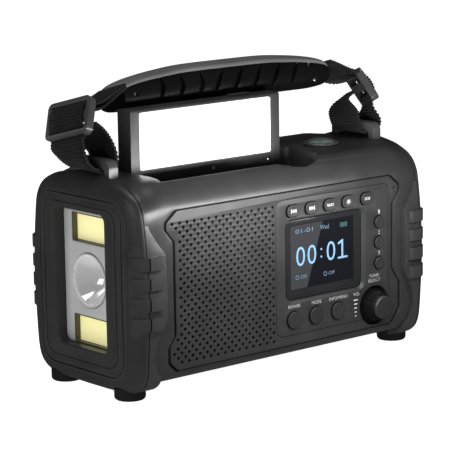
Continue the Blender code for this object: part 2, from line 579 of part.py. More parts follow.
def ribbon(name, path, thick, width, closed=False):
    """Webbing along a path of (x, up), with its width across the object."""
    rings = []
    count = len(path)
    for i, (x, up) in enumerate(path):
        before = path[i - 1] if closed or i else path[i]
        after = path[(i + 1) % count] if closed or i < count - 1 else path[i]
        along = Vector((after[0] - before[0], after[1] - before[1])).normalized()
        across = Vector((-along.y, along.x)) * thick / 2
        ring = []
        for sign, back in ((1, -width / 2), (1, width / 2), (-1, width / 2), (-1, -width / 2)):
            ring.append(leaned(x + across.x * sign, back, up + across.y * sign))
        rings.append(ring)
    return loft(name, rings)


def spline(points, steps=5):
    """Extra points between the given ones, on a smooth curve through them."""
    out = []
    for i in range(len(points) - 1):
        p0, p1 = Vector(points[max(i - 1, 0)]), Vector(points[i])
        p2, p3 = Vector(points[i + 1]), Vector(points[min(i + 2, len(points) - 1)])
        for k in range(steps):
            t = k / steps
            out.append(tuple(0.5 * (2 * p1 + (p2 - p0) * t + (2 * p0 - 5 * p1 + 4 * p2 - p3) * t * t
                                    + (3 * p1 - p0 - 3 * p2 + p3) * t ** 3)))
    out.append(points[-1])
    return out


TILT = math.radians(23)
LOOPS = {"left": [(108.2, 12.4), (109.4, 8.6), (108.0, 3.6), (104.4, -0.2), (100.2, -1.8), (96, -1.95), (92.4, -1.75),
                  (89.8, -0.2), (89.2, 4.6), (90.8, 11.4), (94.4, 17.0), (98.6, 20.4)],
         "right": [(105.4, 12.6), (105.2, 8.4), (104.4, 3.4), (102.6, -0.6), (99.6, -1.8), (96, -1.95), (90.4, -1.1), (87.4, 3.8),
                   (88.4, 10.4), (92.6, 16.2), (98.6, 20.4)]}
for side, s in (("left", -1), ("right", 1)):
    lug = prism(f"{side}_lug", "yz", [[(-17.6, 112), (-13.6, 112), (-13.6, 122.3), (13.6, 122.3), (13.6, 112),
                                       (17.6, 112), (17.6, 124.6), (15.6, 126.7), (-15.6, 126.7), (-17.6, 124.6)]],
                s * 96 - 3, s * 96 + 3)
    paint(lug, (0.5, 0.5, 0.5), 0.4, 0.6)
    path = spline([(s * x, up) for x, up in LOOPS[side]])
    loop = ribbon(f"{side}_loop", path, 1.7, 25)
    paint(loop, (0.03, 0.03, 0.03), 0.9)
    strap = ribbon(f"{side}_strap", [(s * 76.2, 36.6), (s * 80, 34.9), (s * 90, 29.0), (s * 97, 25.0), (s * 101.2, 23.6)], 3.2, 25)
    paint(strap, (0.03, 0.03, 0.03), 0.9)
    outer = rect(-16, -10.6, 16, 10.6, 3)
    slots = [rect(-13.2, 2.4, 13.2, 7.8, 0.8, 2), rect(-13.2, -7.8, 13.2, -2.4, 0.8, 2)]
    buckle = prism(f"{side}_buckle", "yz", [outer, *slots], -1.6, 1.6)
    turn = Matrix.Rotation(-LEAN, 4, "X") @ Matrix.Translation(Vector((s * 106.6, 0, 24.2)) * MM) @ Matrix.Rotation(-s * TILT, 4, "Y")
    buckle.data.transform(Matrix.Translation(Vector((0, 0, HANDLE_Z)) * MM) @ turn)
    soften(buckle, 0.5)
    paint(buckle, (0.3, 0.3, 0.31), 0.4)

GRIP = [(-74.3, 28.5, 37), (-72.5, 27, 39.3), (-66, 26.1, 42), (-56, 26, 44), (-44, 26, 45.8), (-28, 26.2, 47),
        (0, 26.2, 47.2), (28, 26.2, 47), (44, 26, 45.8), (56, 26, 44), (66, 26.1, 42), (72.5, 27, 39.3), (74.3, 28.5, 37)]
rings = []
for x, low, high in GRIP:
    mid, half = (low + high) / 2, (high - low) / 2
    ring = []
    for k in range(28):
        a = 2 * math.pi * k / 28
        c, t = math.cos(a), math.sin(a)
        back = 2.6 + 12.3 * math.copysign(abs(c) ** 0.75, c)
        round_off = 0.75 if t > 0 else 0.87
        ring.append(leaned(x, back, mid + half * math.copysign(abs(t) ** round_off, t)))
    rings.append(ring)
grip = smooth(loft("grip", rings))
paint(grip, (0.05, 0.05, 0.052), 0.5)
for name in ("grip", "left_buckle", "right_buckle", "left_strap", "right_strap"):
    origin(bpy.data.objects[name], (0, 0, HANDLE_Z))
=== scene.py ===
"""Emergency radio: the finished shapes, materials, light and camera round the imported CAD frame."""

import math

import bmesh
import bpy
from mathutils import Matrix, Vector


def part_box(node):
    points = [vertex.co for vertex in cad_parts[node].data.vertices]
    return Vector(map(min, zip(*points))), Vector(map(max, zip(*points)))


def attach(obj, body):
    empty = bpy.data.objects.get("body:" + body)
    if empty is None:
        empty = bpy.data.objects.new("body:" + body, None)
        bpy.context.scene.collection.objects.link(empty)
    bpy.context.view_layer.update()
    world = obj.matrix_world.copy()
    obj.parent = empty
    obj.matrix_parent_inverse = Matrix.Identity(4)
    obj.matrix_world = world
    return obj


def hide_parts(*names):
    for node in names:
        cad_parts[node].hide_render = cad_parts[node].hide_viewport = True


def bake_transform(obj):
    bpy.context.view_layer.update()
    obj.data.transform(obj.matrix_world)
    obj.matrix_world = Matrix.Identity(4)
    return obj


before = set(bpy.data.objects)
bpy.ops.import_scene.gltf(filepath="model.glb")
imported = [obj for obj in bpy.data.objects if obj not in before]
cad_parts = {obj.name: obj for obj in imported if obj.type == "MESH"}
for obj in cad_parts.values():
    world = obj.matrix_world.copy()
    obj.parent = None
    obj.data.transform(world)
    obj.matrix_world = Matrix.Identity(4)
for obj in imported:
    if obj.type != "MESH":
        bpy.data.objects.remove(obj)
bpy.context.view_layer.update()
MM = 0.001

# ---------------------------------------------------------------- places taken from the frame, in mm


def box_mm(node):
    low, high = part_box(node)
    return [c / MM for c in low], [c / MM for c in high]


def middle(node):
    low, high = box_mm(node)
    return [(a + b) / 2 for a, b in zip(low, high)]


SHELL_END = box_mm("front_shell")[1][0]
FACE_Y = box_mm("front_panel")[0][1]
SEAM = 99.3
HINGE_Y, HINGE_Z = 1.0, 115.6
HANDLE_Z, LEAN = 123.0, math.radians(15)
SPLIT_Y = 16.0
KNOB_X, _, KNOB_Z = middle("tuning_knob")
CRANK_X, _, CRANK_Z = middle("crank_gear")
QX, QY, _ = middle("compass_card")

# ---------------------------------------------------------------- materials


def nodes_of(name):
    material = bpy.data.materials.new(name)
    material.use_nodes = True
    tree = material.node_tree
    return material, tree, tree.nodes["Principled BSDF"]


def add(tree, kind, **values):
    node = tree.nodes.new(kind)
    for key, value in values.items():
        if hasattr(node, key):
            setattr(node, key, value)
        else:
            node.inputs[key.replace("_", " ")].default_value = value
    return node


def noise(tree, scale, detail=3.0, stretch=None):
    place = tree.nodes.new("ShaderNodeTexCoord")
    mapping = tree.nodes.new("ShaderNodeMapping")
    if stretch:
        mapping.inputs["Scale"].default_value = stretch
    tree.links.new(place.outputs["Object"], mapping.inputs["Vector"])
    node = add(tree, "ShaderNodeTexNoise", Scale=scale, Detail=detail)
    tree.links.new(mapping.outputs["Vector"], node.inputs["Vector"])
    return node


def ramp(tree, source, low, high, start=0.3, end=0.7):
    node = tree.nodes.new("ShaderNodeValToRGB")
    node.color_ramp.elements[0].position = start
    node.color_ramp.elements[1].position = end
    node.color_ramp.elements[0].color = (*low, 1)
    node.color_ramp.elements[1].color = (*high, 1)
    tree.links.new(source, node.inputs["Fac"])
    return node


def spread(tree, source, low, high, start=0.3, end=0.7):
    node = tree.nodes.new("ShaderNodeMapRange")
    for key, value in (("From Min", start), ("From Max", end), ("To Min", low), ("To Max", high)):
        node.inputs[key].default_value = value
    tree.links.new(source, node.inputs["Value"])
    return node


def surface(name, colour, rough, vary=0.12, rough_vary=0.08, grain=2600.0, relief=0.15, metal=0.0, stretch=None,
            coat=0.0, specular=0.5, wear=0.0):
    """Moulded plastic, rubber or metal: a fine grain in relief, slow changes of tone and of gloss, worn edges."""
    material, tree, shader = nodes_of(name)
    slow = noise(tree, 45.0, 4.0)
    low = tuple(c * (1 - vary) for c in colour)
    high = tuple(c * (1 + vary) for c in colour)
    tone = ramp(tree, slow.outputs["Fac"], low, high)
    last = tone.outputs["Color"]
    if wear:
        geometry = tree.nodes.new("ShaderNodeNewGeometry")
        edge = spread(tree, geometry.outputs["Pointiness"], 0.0, wear, 0.52, 0.62)
        mix = tree.nodes.new("ShaderNodeMix")
        mix.data_type = "RGBA"
        tree.links.new(edge.outputs["Result"], mix.inputs["Factor"])
        tree.links.new(last, mix.inputs[6])
        mix.inputs[7].default_value = (*[min(1, c * 2.2 + 0.03) for c in colour], 1)
        last = mix.outputs[2]
    tree.links.new(last, shader.inputs["Base Color"])
    fine = noise(tree, grain, 2.0, stretch)
    gloss = spread(tree, slow.outputs["Fac"], rough - rough_vary, rough + rough_vary)
    tree.links.new(gloss.outputs["Result"], shader.inputs["Roughness"])
    if relief:
        bump = tree.nodes.new("ShaderNodeBump")
        bump.inputs["Strength"].default_value = relief
        bump.inputs["Distance"].default_value = 0.0001
        tree.links.new(fine.outputs["Fac"], bump.inputs["Height"])
        tree.links.new(bump.outputs["Normal"], shader.inputs["Normal"])
    shader.inputs["Metallic"].default_value = metal
    shader.inputs["Specular IOR Level"].default_value = specular
    shader.inputs["Coat Weight"].default_value = coat
    return material


def glowing(name, colour, light, strength, rough=0.4):
    """A lit or milky surface with a slightly uneven tone."""
    material, tree, shader = nodes_of(name)
    slow = noise(tree, 60.0, 2.0)
    tone = ramp(tree, slow.outputs["Fac"], tuple(c * 0.97 for c in colour), colour)
    tree.links.new(tone.outputs["Color"], shader.inputs["Base Color"])
    gloss = spread(tree, slow.outputs["Fac"], rough - 0.05, rough + 0.05)
    tree.links.new(gloss.outputs["Result"], shader.inputs["Roughness"])
    shader.inputs["Emission Color"].default_value = (*light, 1)
    shader.inputs["Emission Strength"].default_value = strength
    return material


M = {
    "shell": surface("shell_plastic", (0.022, 0.022, 0.0225), 0.37, wear=0.12, specular=0.35),
    "bumper": surface("bumper_rubber", (0.020, 0.020, 0.0205), 0.42, grain=1900, relief=0.22, wear=0.12, specular=0.3),
    "panel": surface("panel_plastic", (0.022, 0.022, 0.0225), 0.46, grain=3000, relief=0.2, specular=0.25),
    # near black: the grille cloth's own colour, and painted shade where it lines the panel gap, the knob well and the
    # button walls
    "dark": surface("cloth_black_and_painted_shade", (0.003, 0.003, 0.003), 0.8, relief=0.0, specular=0.1),
    "button": surface("button_plastic", (0.018, 0.018, 0.0185), 0.48, grain=3200, relief=0.12, specular=0.25),
    "knob": surface("knob_gloss", (0.004, 0.004, 0.004), 0.22, grain=1500, relief=0.05, specular=0.35),
    "knob_face": surface("knob_face", (0.018, 0.018, 0.0185), 0.42, grain=3200, relief=0.12),
    "plate": surface("lamp_plate_grey", (0.40, 0.40, 0.403), 0.40, grain=2600, relief=0.08),
    "well": surface("flood_well", (0.07, 0.07, 0.035), 0.5, relief=0.1),
    "flood": glowing("flood_phosphor", (0.80, 0.76, 0.36), (1.0, 0.93, 0.50), 0.36),
    # painted reflection: the reflector is half metallic, and its near-white base colour makes it bright in place of
    # real reflections
    "chrome": surface("reflector_chrome_painted_reflection", (0.90, 0.90, 0.91), 0.12, 0.02, 0.03, relief=0.0, metal=0.5),
    "led": glowing("led_phosphor", (0.9, 0.75, 0.2), (1.0, 0.85, 0.4), 0.2),
    "glass": surface("screen_glass", (0.012, 0.012, 0.013), 0.16, 0.1, 0.03, relief=0.0, specular=0.25),
    "steel": surface("steel", (0.55, 0.55, 0.56), 0.3, 0.08, 0.06, grain=900, relief=0.1, metal=1.0,
                     stretch=(1, 1, 12)),
    "polished": surface("antenna_chrome", (0.85, 0.85, 0.86), 0.12, 0.03, 0.04, grain=600, relief=0.03, metal=1.0),
    "brass": surface("brass", (0.75, 0.58, 0.25), 0.3, 0.08, 0.06, grain=900, relief=0.1, metal=1.0),
    "nylon": surface("gear_nylon", (0.75, 0.75, 0.7), 0.45),
    "board": surface("circuit_board", (0.02, 0.14, 0.05), 0.35),
    "paper": surface("speaker_paper", (0.03, 0.03, 0.03), 0.8, grain=1200, relief=0.4),
    "cell": surface("battery_wrap", (0.05, 0.12, 0.4), 0.35),
    "diffuser": glowing("milky_diffuser", (0.90, 0.90, 0.90), (1, 1, 1), 0.75),
    "lug": surface("lug_metal", (0.06, 0.06, 0.061), 0.40, 0.1, 0.08, grain=1600, relief=0.12, metal=0.1),
    "buckle": surface("buckle_plastic", (0.045, 0.045, 0.046), 0.33, grain=2600, relief=0.1, wear=0.3),
    "grip": surface("grip_plastic", (0.004, 0.004, 0.004), 0.42, grain=2600, relief=0.15, specular=0.08),
    "grip_top": surface("grip_top_plastic", (0.13, 0.13, 0.131), 0.38, grain=420, relief=0.5,
                        stretch=(0.12, 4, 1)),
    "foot": surface("foot_rubber", (0.008, 0.008, 0.008), 0.6, grain=1500, relief=0.3, specular=0.2),
    "card": surface("compass_card_green", (0.0, 0.07, 0.04), 0.5, relief=0.05),
    "white": surface("white_ink", (0.45, 0.45, 0.45), 0.5, 0.03, relief=0.05),
    "label": surface("label_ink", (0.27, 0.27, 0.27), 0.5, 0.03, relief=0.05),
    "compass_ring": surface("compass_ring_grey", (0.05, 0.05, 0.05), 0.35, relief=0.1),
}


def solar_material():
    """Dark cells with thin silver fingers and bus bars."""
    material, tree, shader = nodes_of("solar_cells")
    place = tree.nodes.new("ShaderNodeTexCoord")
    wave = add(tree, "ShaderNodeTexWave", Scale=120.0)
    wave.bands_direction = "Z"
    tree.links.new(place.outputs["Object"], wave.inputs["Vector"])
    lines = ramp(tree, wave.outputs["Fac"], (0.008, 0.012, 0.05), (0.25, 0.27, 0.32), 0.93, 0.98)
    tree.links.new(lines.outputs["Color"], shader.inputs["Base Color"])
    slow = noise(tree, 50.0)
    gloss = spread(tree, slow.outputs["Fac"], 0.08, 0.18)
    tree.links.new(gloss.outputs["Result"], shader.inputs["Roughness"])
    return material


def webbing_material():
    """Woven nylon tape: small stitches across the ribs that the mesh already has."""
    material, tree, shader = nodes_of("webbing_weave")
    fine = noise(tree, 2200.0, 2.0, (1, 2.5, 1))
    tone = ramp(tree, fine.outputs["Fac"], (0.001, 0.001, 0.001), (0.014, 0.014, 0.014))
    tree.links.new(tone.outputs["Color"], shader.inputs["Base Color"])
    shader.inputs["Specular IOR Level"].default_value = 0.15
    slow = noise(tree, 300.0)
    gloss = spread(tree, slow.outputs["Fac"], 0.5, 0.75)
    tree.links.new(gloss.outputs["Result"], shader.inputs["Roughness"])
    bump = tree.nodes.new("ShaderNodeBump")
    bump.inputs["Strength"].default_value = 0.7
    bump.inputs["Distance"].default_value = 0.0002
    tree.links.new(fine.outputs["Fac"], bump.inputs["Height"])
    tree.links.new(bump.outputs["Normal"], shader.inputs["Normal"])
    shader.inputs["Sheen Weight"].default_value = 0.05
    return material


M["solar"] = solar_material()
M["webbing"] = webbing_material()

# ---------------------------------------------------------------- shape tools, in mm


def place(name, mesh, material=None):
    obj = bpy.data.objects.new(name, mesh)
    bpy.context.scene.collection.objects.link(obj)
    if material:
        obj.data.materials.append(M[material])
    return obj


def from_bmesh(name, bm, material=None):
    bmesh.ops.remove_doubles(bm, verts=bm.verts, dist=1e-7)
    bmesh.ops.recalc_face_normals(bm, faces=bm.faces)
    mesh = bpy.data.meshes.new(name)
    bm.to_mesh(mesh)
    bm.free()
    return place(name, mesh, material)


def evaluated_mesh(obj):
    bpy.context.view_layer.update()
    return bpy.data.meshes.new_from_object(obj.evaluated_get(bpy.context.evaluated_depsgraph_get()))


PLANES = {"xz": Matrix(((1, 0, 0), (0, 0, -1), (0, 1, 0))), "yz": Matrix(((0, 0, 1), (1, 0, 0), (0, 1, 0))),
          "xy": Matrix.Identity(3)}
NORMAL = {"xz": 1, "yz": 0, "xy": 2}


def prism(name, plane, loops, start, end, material=None):
    """Fills the flat loops (the later ones are holes) and extrudes them from start to end along the normal."""
    curve = bpy.data.curves.new(name, "CURVE")
    curve.dimensions = "2D"
    curve.fill_mode = "BOTH"
    curve.extrude = abs(end - start) / 2 * MM
    for loop in loops:
        line = curve.splines.new("POLY")
        line.points.add(len(loop) - 1)
        for point, (a, b) in zip(line.points, loop):
            point.co = (a * MM, b * MM, 0, 1)
        line.use_cyclic_u = True
    holder = place(name + "_outline", curve)
    mesh = evaluated_mesh(holder)
    bpy.data.objects.remove(holder)
    bm = bmesh.new()
    bm.from_mesh(mesh)
    bmesh.ops.transform(bm, matrix=PLANES[plane].to_4x4(), verts=bm.verts)
    shift = Vector((0, 0, 0))
    shift[NORMAL[plane]] = (start + end) / 2 * MM
    bmesh.ops.translate(bm, vec=shift, verts=bm.verts)
    return from_bmesh(name, bm, material)


def rounded(points, radius, steps=6):
    """The closed polygon with each corner replaced by an arc."""
    out = []
    count = len(points)
    for i, corner in enumerate(points):
        p = Vector(corner)
        a, b = Vector(points[i - 1]) - p, Vector(points[(i + 1) % count]) - p
        la, lb = a.length, b.length
        a.normalize()
        b.normalize()
        half = a.angle(b) / 2
        reach = min(radius / math.tan(half), la * 0.45, lb * 0.45)
        centre = p + (a + b).normalized() * (reach / math.cos(half))
        first, last = p + a * reach - centre, p + b * reach - centre
        turn = first.angle_signed(last)
        for k in range(steps + 1):
            angle = -turn * k / steps
            c, s = math.cos(angle), math.sin(angle)
            out.append((centre.x + first.x * c - first.y * s, centre.y + first.x * s + first.y * c))
    return out


def rect(a0, b0, a1, b1, radius=0.0, steps=6):
    corners = [(a0, b0), (a1, b0), (a1, b1), (a0, b1)]
    return rounded(corners, radius, steps) if radius else corners


def circle(a, b, radius, count=48):
    return [(a + radius * math.cos(2 * math.pi * k / count), b + radius * math.sin(2 * math.pi * k / count))
            for k in range(count)]


def block(name, lo, hi, material=None):
    bm = bmesh.new()
    bmesh.ops.create_cube(bm, size=1)
    for v in bm.verts:
        v.co = Vector([((lo[i] + hi[i]) / 2 + v.co[i] * (hi[i] - lo[i])) * MM for i in range(3)])
    return from_bmesh(name, bm, material)


def turned(name, profile, centre, axis, material=None, steps=72):
    """Turns an open or closed profile of (radius, place along the axis) round the axis through the centre."""
    turn = {"z": Matrix.Identity(4), "x": Matrix.Rotation(math.pi / 2, 4, "Y"),
            "y": Matrix.Rotation(-math.pi / 2, 4, "X")}[axis]
    bm = bmesh.new()
    rows = []
    for k in range(steps):
        a = 2 * math.pi * k / steps
        rows.append([bm.verts.new((r * math.cos(a) * MM, r * math.sin(a) * MM, h * MM)) for r, h in profile])
    for row, after in zip(rows, rows[1:] + rows[:1]):
        for i in range(len(profile) - 1):
            bm.faces.new((row[i], after[i], after[i + 1], row[i + 1]))
    bmesh.ops.remove_doubles(bm, verts=bm.verts, dist=1e-7)
    bmesh.ops.dissolve_degenerate(bm, edges=bm.edges, dist=1e-8)
    bmesh.ops.transform(bm, matrix=Matrix.Translation(Vector(centre) * MM) @ turn, verts=bm.verts)
    return from_bmesh(name, bm, material)


def loft(name, rings, material=None, caps=True, closed=False):
    bm = bmesh.new()
    rows = [[bm.verts.new(Vector(p) * MM) for p in ring] for ring in rings]
    pairs = list(zip(rows, rows[1:])) + ([(rows[-1], rows[0])] if closed else [])
    for low, high in pairs:
        for i in range(len(low)):
            j = (i + 1) % len(low)
            bm.faces.new((low[i], low[j], high[j], high[i]))
    if caps and not closed:
        bm.faces.new(rows[0])
        bm.faces.new(rows[-1])
    return from_bmesh(name, bm, material)


def combine(obj, others, operation, material=True):
    """Boolean with each of the others, applied at once; the others are removed."""
    for other in others:
        modifier = obj.modifiers.new("cut", "BOOLEAN")
        modifier.operation = operation
        modifier.solver = "EXACT"
        modifier.object = other
        if not material:
            modifier.material_mode = "INDEX"
    mesh = evaluated_mesh(obj)
    obj.modifiers.clear()
    obj.data = mesh
    for other in others:
        bpy.data.objects.remove(other)
    return obj


def cut(obj, *others):
    return combine(obj, others, "DIFFERENCE")


def join(obj, *others):
    return combine(obj, others, "UNION")


def finish(obj, width=0.0, segments=2, angle=35.0, sharp=40.0):
    """Rounds the edges and shades the surface smooth between the sharp ones."""
    if width:
        modifier = obj.modifiers.new("edges", "BEVEL")
        modifier.width = width * MM
        modifier.segments = segments
        modifier.limit_method = "ANGLE"
        modifier.angle_limit = math.radians(angle)
        modifier.use_clamp_overlap = True
        modifier.miter_outer = "MITER_ARC"
        obj.data = evaluated_mesh(obj)
        obj.modifiers.clear()
    for polygon in obj.data.polygons:
        polygon.use_smooth = True
    obj.data.set_sharp_from_angle(angle=math.radians(sharp))
    return obj


def ride(obj, body, *stands_for):
    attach(obj, body)
    if stands_for:
        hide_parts(*stands_for)
    return obj


def chaikin(points, times=2):
    """Cuts the corners of an open line, keeping its ends."""
    for _ in range(times):
        out = [points[0]]
        for (a, b), (c, d) in zip(points, points[1:]):
            out.append((a * 0.75 + c * 0.25, b * 0.75 + d * 0.25))
            out.append((a * 0.25 + c * 0.75, b * 0.25 + d * 0.75))
        points = out + [points[-1]]
    return points


def spline(points, steps=6):
    """Extra points between the given ones, on a smooth curve through them."""
    out = []
    for i in range(len(points) - 1):
        p0, p1 = Vector(points[max(i - 1, 0)]), Vector(points[i])
        p2, p3 = Vector(points[i + 1]), Vector(points[min(i + 2, len(points) - 1)])
        for k in range(steps):
            t = k / steps
            out.append(tuple(0.5 * (2 * p1 + (p2 - p0) * t + (2 * p0 - 5 * p1 + 4 * p2 - p3) * t * t
                                    + (3 * p1 - p0 - 3 * p2 + p3) * t ** 3)))
    out.append(tuple(points[-1]))
    return out


def ring_of(half, x, grow=0.0, depth=1.0, top=None, bottom=None):
    """A closed section at x from its front-half points; depth scales Y, and top and bottom squeeze Z."""
    low, high = half[0][1], half[-1][1]
    mid = (low + high) / 2
    points = []
    for i, (y, z) in enumerate(half):
        before, after = half[max(i - 1, 0)], half[min(i + 1, len(half) - 1)]
        if i in (0, len(half) - 1):
            normal = Vector((0, -1 if i == 0 else 1))
        else:
            first = Vector((y - before[0], z - before[1])).normalized()
            second = Vector((after[0] - y, after[1] - z)).normalized()
            along = (first + second).normalized()
            normal = Vector((along.y, -along.x))
        y, z = y + normal.x * grow, z + normal.y * grow
        if top is not None:
            z = mid + (z - mid) * ((top - mid) / (high - mid) if z > mid else (mid - bottom) / (mid - low))
        points.append((y * depth, z))
    front = [(x, -y, z) for y, z in points]
    rear = [(x, y, z) for y, z in reversed(points[1:-1])]
    return front + rear


# ---------------------------------------------------------------- mid-body shells

SHELL_MID = [(0, 8), (36, 8.1), (42, 9.9), (45, 12.8), (46.5, 17.5), (46.5, 60), (46.5, 98), (46.2, 102),
             (45.2, 105.5), (43.3, 109), (40.6, 112.2), (37.2, 115), (32.8, 117.1), (20, 117.3), (0, 117.3)]
SHELL_TIP = [(0, 8), (36, 8.1), (42, 9.9), (45, 12.8), (46.5, 17.5), (46.5, 60), (46.3, 94), (45.7, 100.5),
             (44.6, 103.8), (42.3, 107.7), (39, 110.7), (35.6, 112.7), (31.6, 114.4), (20, 117.2), (0, 118.2)]
PANEL = [(-78.5, 102), (78.5, 102), (86, 96), (86, 92), (80.4, 85.5), (80.4, 47.3), (86.2, 38.8), (86.2, 24),
         (79.4, 14.7), (-79.4, 14.7), (-84.7, 19.6), (-84.7, 28.6), (-80.4, 34), (-80.4, 85.5), (-86, 92),
         (-86, 96)]
SPEAKER = (-43.0, 57.0)
WALL = 3.5
SCOOP = [(-3, -33.5), (4, -36.6), (12, -39.2), (20, -40.2), (28, -38.6), (34, -35.2), (36.5, -31), (38.5, -12),
         (38.8, -4), (25, -4), (25, -33.5)]
FLAP_X0, FLAP_X1 = -78.5, 27.0
LUG_X = 96.0


def shell_loft(name, grow, end):
    mid, tip = chaikin(SHELL_MID), chaikin(SHELL_TIP)
    rings = []
    stations = [-end, -95, -92, -89, -86.5, -84, 0, 84, 86.5, 89, 92, 95, end]
    for x in stations:
        share = min(max((abs(x) - 84) / (SHELL_END - 84), 0), 1)
        share = share * share * (3 - 2 * share) if share < 1 else 1
        half = [(a + (c - a) * share, b + (d - b) * share) for (a, b), (c, d) in zip(mid, tip)]
        rings.append(ring_of(half, x, grow))
    return loft(name, rings)


def shell_half(name, rear):
    shell = shell_loft(name, 0, SHELL_END)
    cavity = loft("cavity", [ring_of(SHELL_MID, x, -WALL) for x in (-95, 95)])
    cut(cavity, block("pocket_box", (-82, -43.5, 101.5), (53, 30, 140)))
    if rear:
        cut(cavity, turned("well_wall", [(0, 34), (38.5, 34), (38.5, 70), (0, 70)],
                           (CRANK_X, 0, CRANK_Z), "y", steps=64))
    away = (-70, SPLIT_Y + 0.08) if rear else (SPLIT_Y - 0.08, 70)
    cut(shell, block("other_half", (-120, away[0], -10), (120, away[1], 140)), cavity,
        prism("lamp_hole", "yz", [rect(-22.2, 24.1, 22.2, 99.2, 4)], -102, -92))
    return shell


def front_housing():
    shell = shell_half("housing_front", False)
    cut(shell, prism("pocket", "xy", [rect(FLAP_X0 - 0.6, -35.9, FLAP_X1 + 0.6, 12.8, 0.8, 3)], 103.9, 130),
        prism("scoop", "xy", [rounded(SCOOP, 4, 6)], 107, 130),
        prism("panel_recess", "xz", [rounded(PANEL, 2.5)], -60, -44.6))
    cut(shell, turned("grille_hole", [(0, -60), (30, -60), (30, -38), (0, -38)], (SPEAKER[0], 0, SPEAKER[1]), "y"),
        prism("control_hole", "xz", [rect(-4, 19.2, 75.8, 95.5, 2.5)], -60, -38),
        turned("compass_hole", [(0, 107), (9.6, 107), (9.6, 130), (0, 130)], (QX, QY, 0), "z"))
    for s in (-1, 1):
        for y in (-15.6, 15.6):
            cut(shell, block("lug_hole", (s * LUG_X - 3.2, y - 2.2, 111.7), (s * LUG_X + 3.2, y + 2.2, 130)))
    cut(shell, turned("pin_holes", [(0, FLAP_X0 - 3.2), (1.35, FLAP_X0 - 3.2), (1.35, FLAP_X1 + 3.2),
                                    (0, FLAP_X1 + 3.2)], (0, HINGE_Y, HINGE_Z), "x", steps=24))
    shell.data.materials.append(M["shell"])
    ride(finish(shell, 0.45, 2, 40, 32), "body", "front_shell")


def rear_housing():
    shell = shell_half("housing_rear", True)
    well = turned("well", [(0, 36.5), (34.4, 36.5), (36, 38.1), (36, 70), (0, 70)],
                  (CRANK_X, 0, CRANK_Z), "y", steps=96)
    cut(shell, well, turned("shaft_hole", [(0, 30), (4.3, 30), (4.3, 40), (0, 40)], (CRANK_X, 0, CRANK_Z), "y"))
    for s in (-1, 1):
        cut(shell, block("lug_hole", (s * LUG_X - 3.2, 13.4, 111.7), (s * LUG_X + 3.2, 17.8, 130)))
    ax, az = 83.0, 104.0
    join(shell, turned("antenna_boss", [(0, 43.5), (4.8, 43.5), (4.8, 48.0), (4.5, 48.3), (0, 48.3)], (ax, 0, az), "y"))
    # shallow ribs give the plain back its relief
    for k in range(7):
        x = 20 + k * 9.5
        cut(shell, prism("vent", "xz", [rect(x, 26, x + 2.2, 78, 1.09, 4)], 44.9, 60))
    shell.data.materials.append(M["shell"])
    ride(finish(shell, 0.45, 2, 40, 32), "body", "rear_shell")


# ---------------------------------------------------------------- end bumpers and caps

BUMPER = [(0, 3.2), (22, 3.4), (30, 3.8), (37, 4.9), (42, 7.2), (45.8, 11), (47.8, 17), (48.8, 30), (49.5, 41),
          (50.3, 59), (49.1, 78), (47.2, 94), (46.2, 100.5), (45, 104), (42.7, 108), (39.4, 111), (36, 113),
          (32, 114.7), (27.7, 116.3), (20, 117.8), (10, 119.3), (0, 119.8)]
BUMPER_EDGE = [(-5, 89.4), (14, 89.4), (17, 92.7), (24, 95.5), (32, 94.3), (40, 90.3), (45, 87), (80, 87),
               (86, 91.7), (93, 96), (96, 96.6), (97, 110), (130, 110)]
RIBS = [(79.5, 72.9), (68.6, 62.2), (58.1, 51.3), (47.4, 40.5)]
END_DEPTH = 50.3
FEET = [(s * 96.9, y) for s in (-1, 1) for y in (-28.4, 28.4)]


def end_solid(name, s):
    half = chaikin(BUMPER)
    rings = [ring_of(half, s * 84), ring_of(half, s * SEAM)]
    for k in range(1, 15):
        t = math.sin(math.pi / 2 * k / 14)
        fall = math.cos(math.pi / 2 * k / 14)
        rings.append(ring_of(half, s * (SEAM + 7.7 * t), 0, (29.6 + 20.7 * fall) / END_DEPTH, 108.8 + 11 * fall,
                             12.2 - 9 * fall))
    body = loft(name, rings)
    outer = [(90.4, -51.8), (89.9, -47), (100, -40), (105.4, -40), (105.4, -43.8), (103.6, -47.9), (99.3, -51.5),
             (95, -51.8)]
    ribs = []
    for high, low in RIBS:
        for sign in (1, -1):
            shape = rounded([(s * x, y * sign) for x, y in outer], 1.6, 4)
            ribs.append(finish(prism("rib", "xy", [shape], low, high), 1.1, 4))
    return join(body, *ribs)


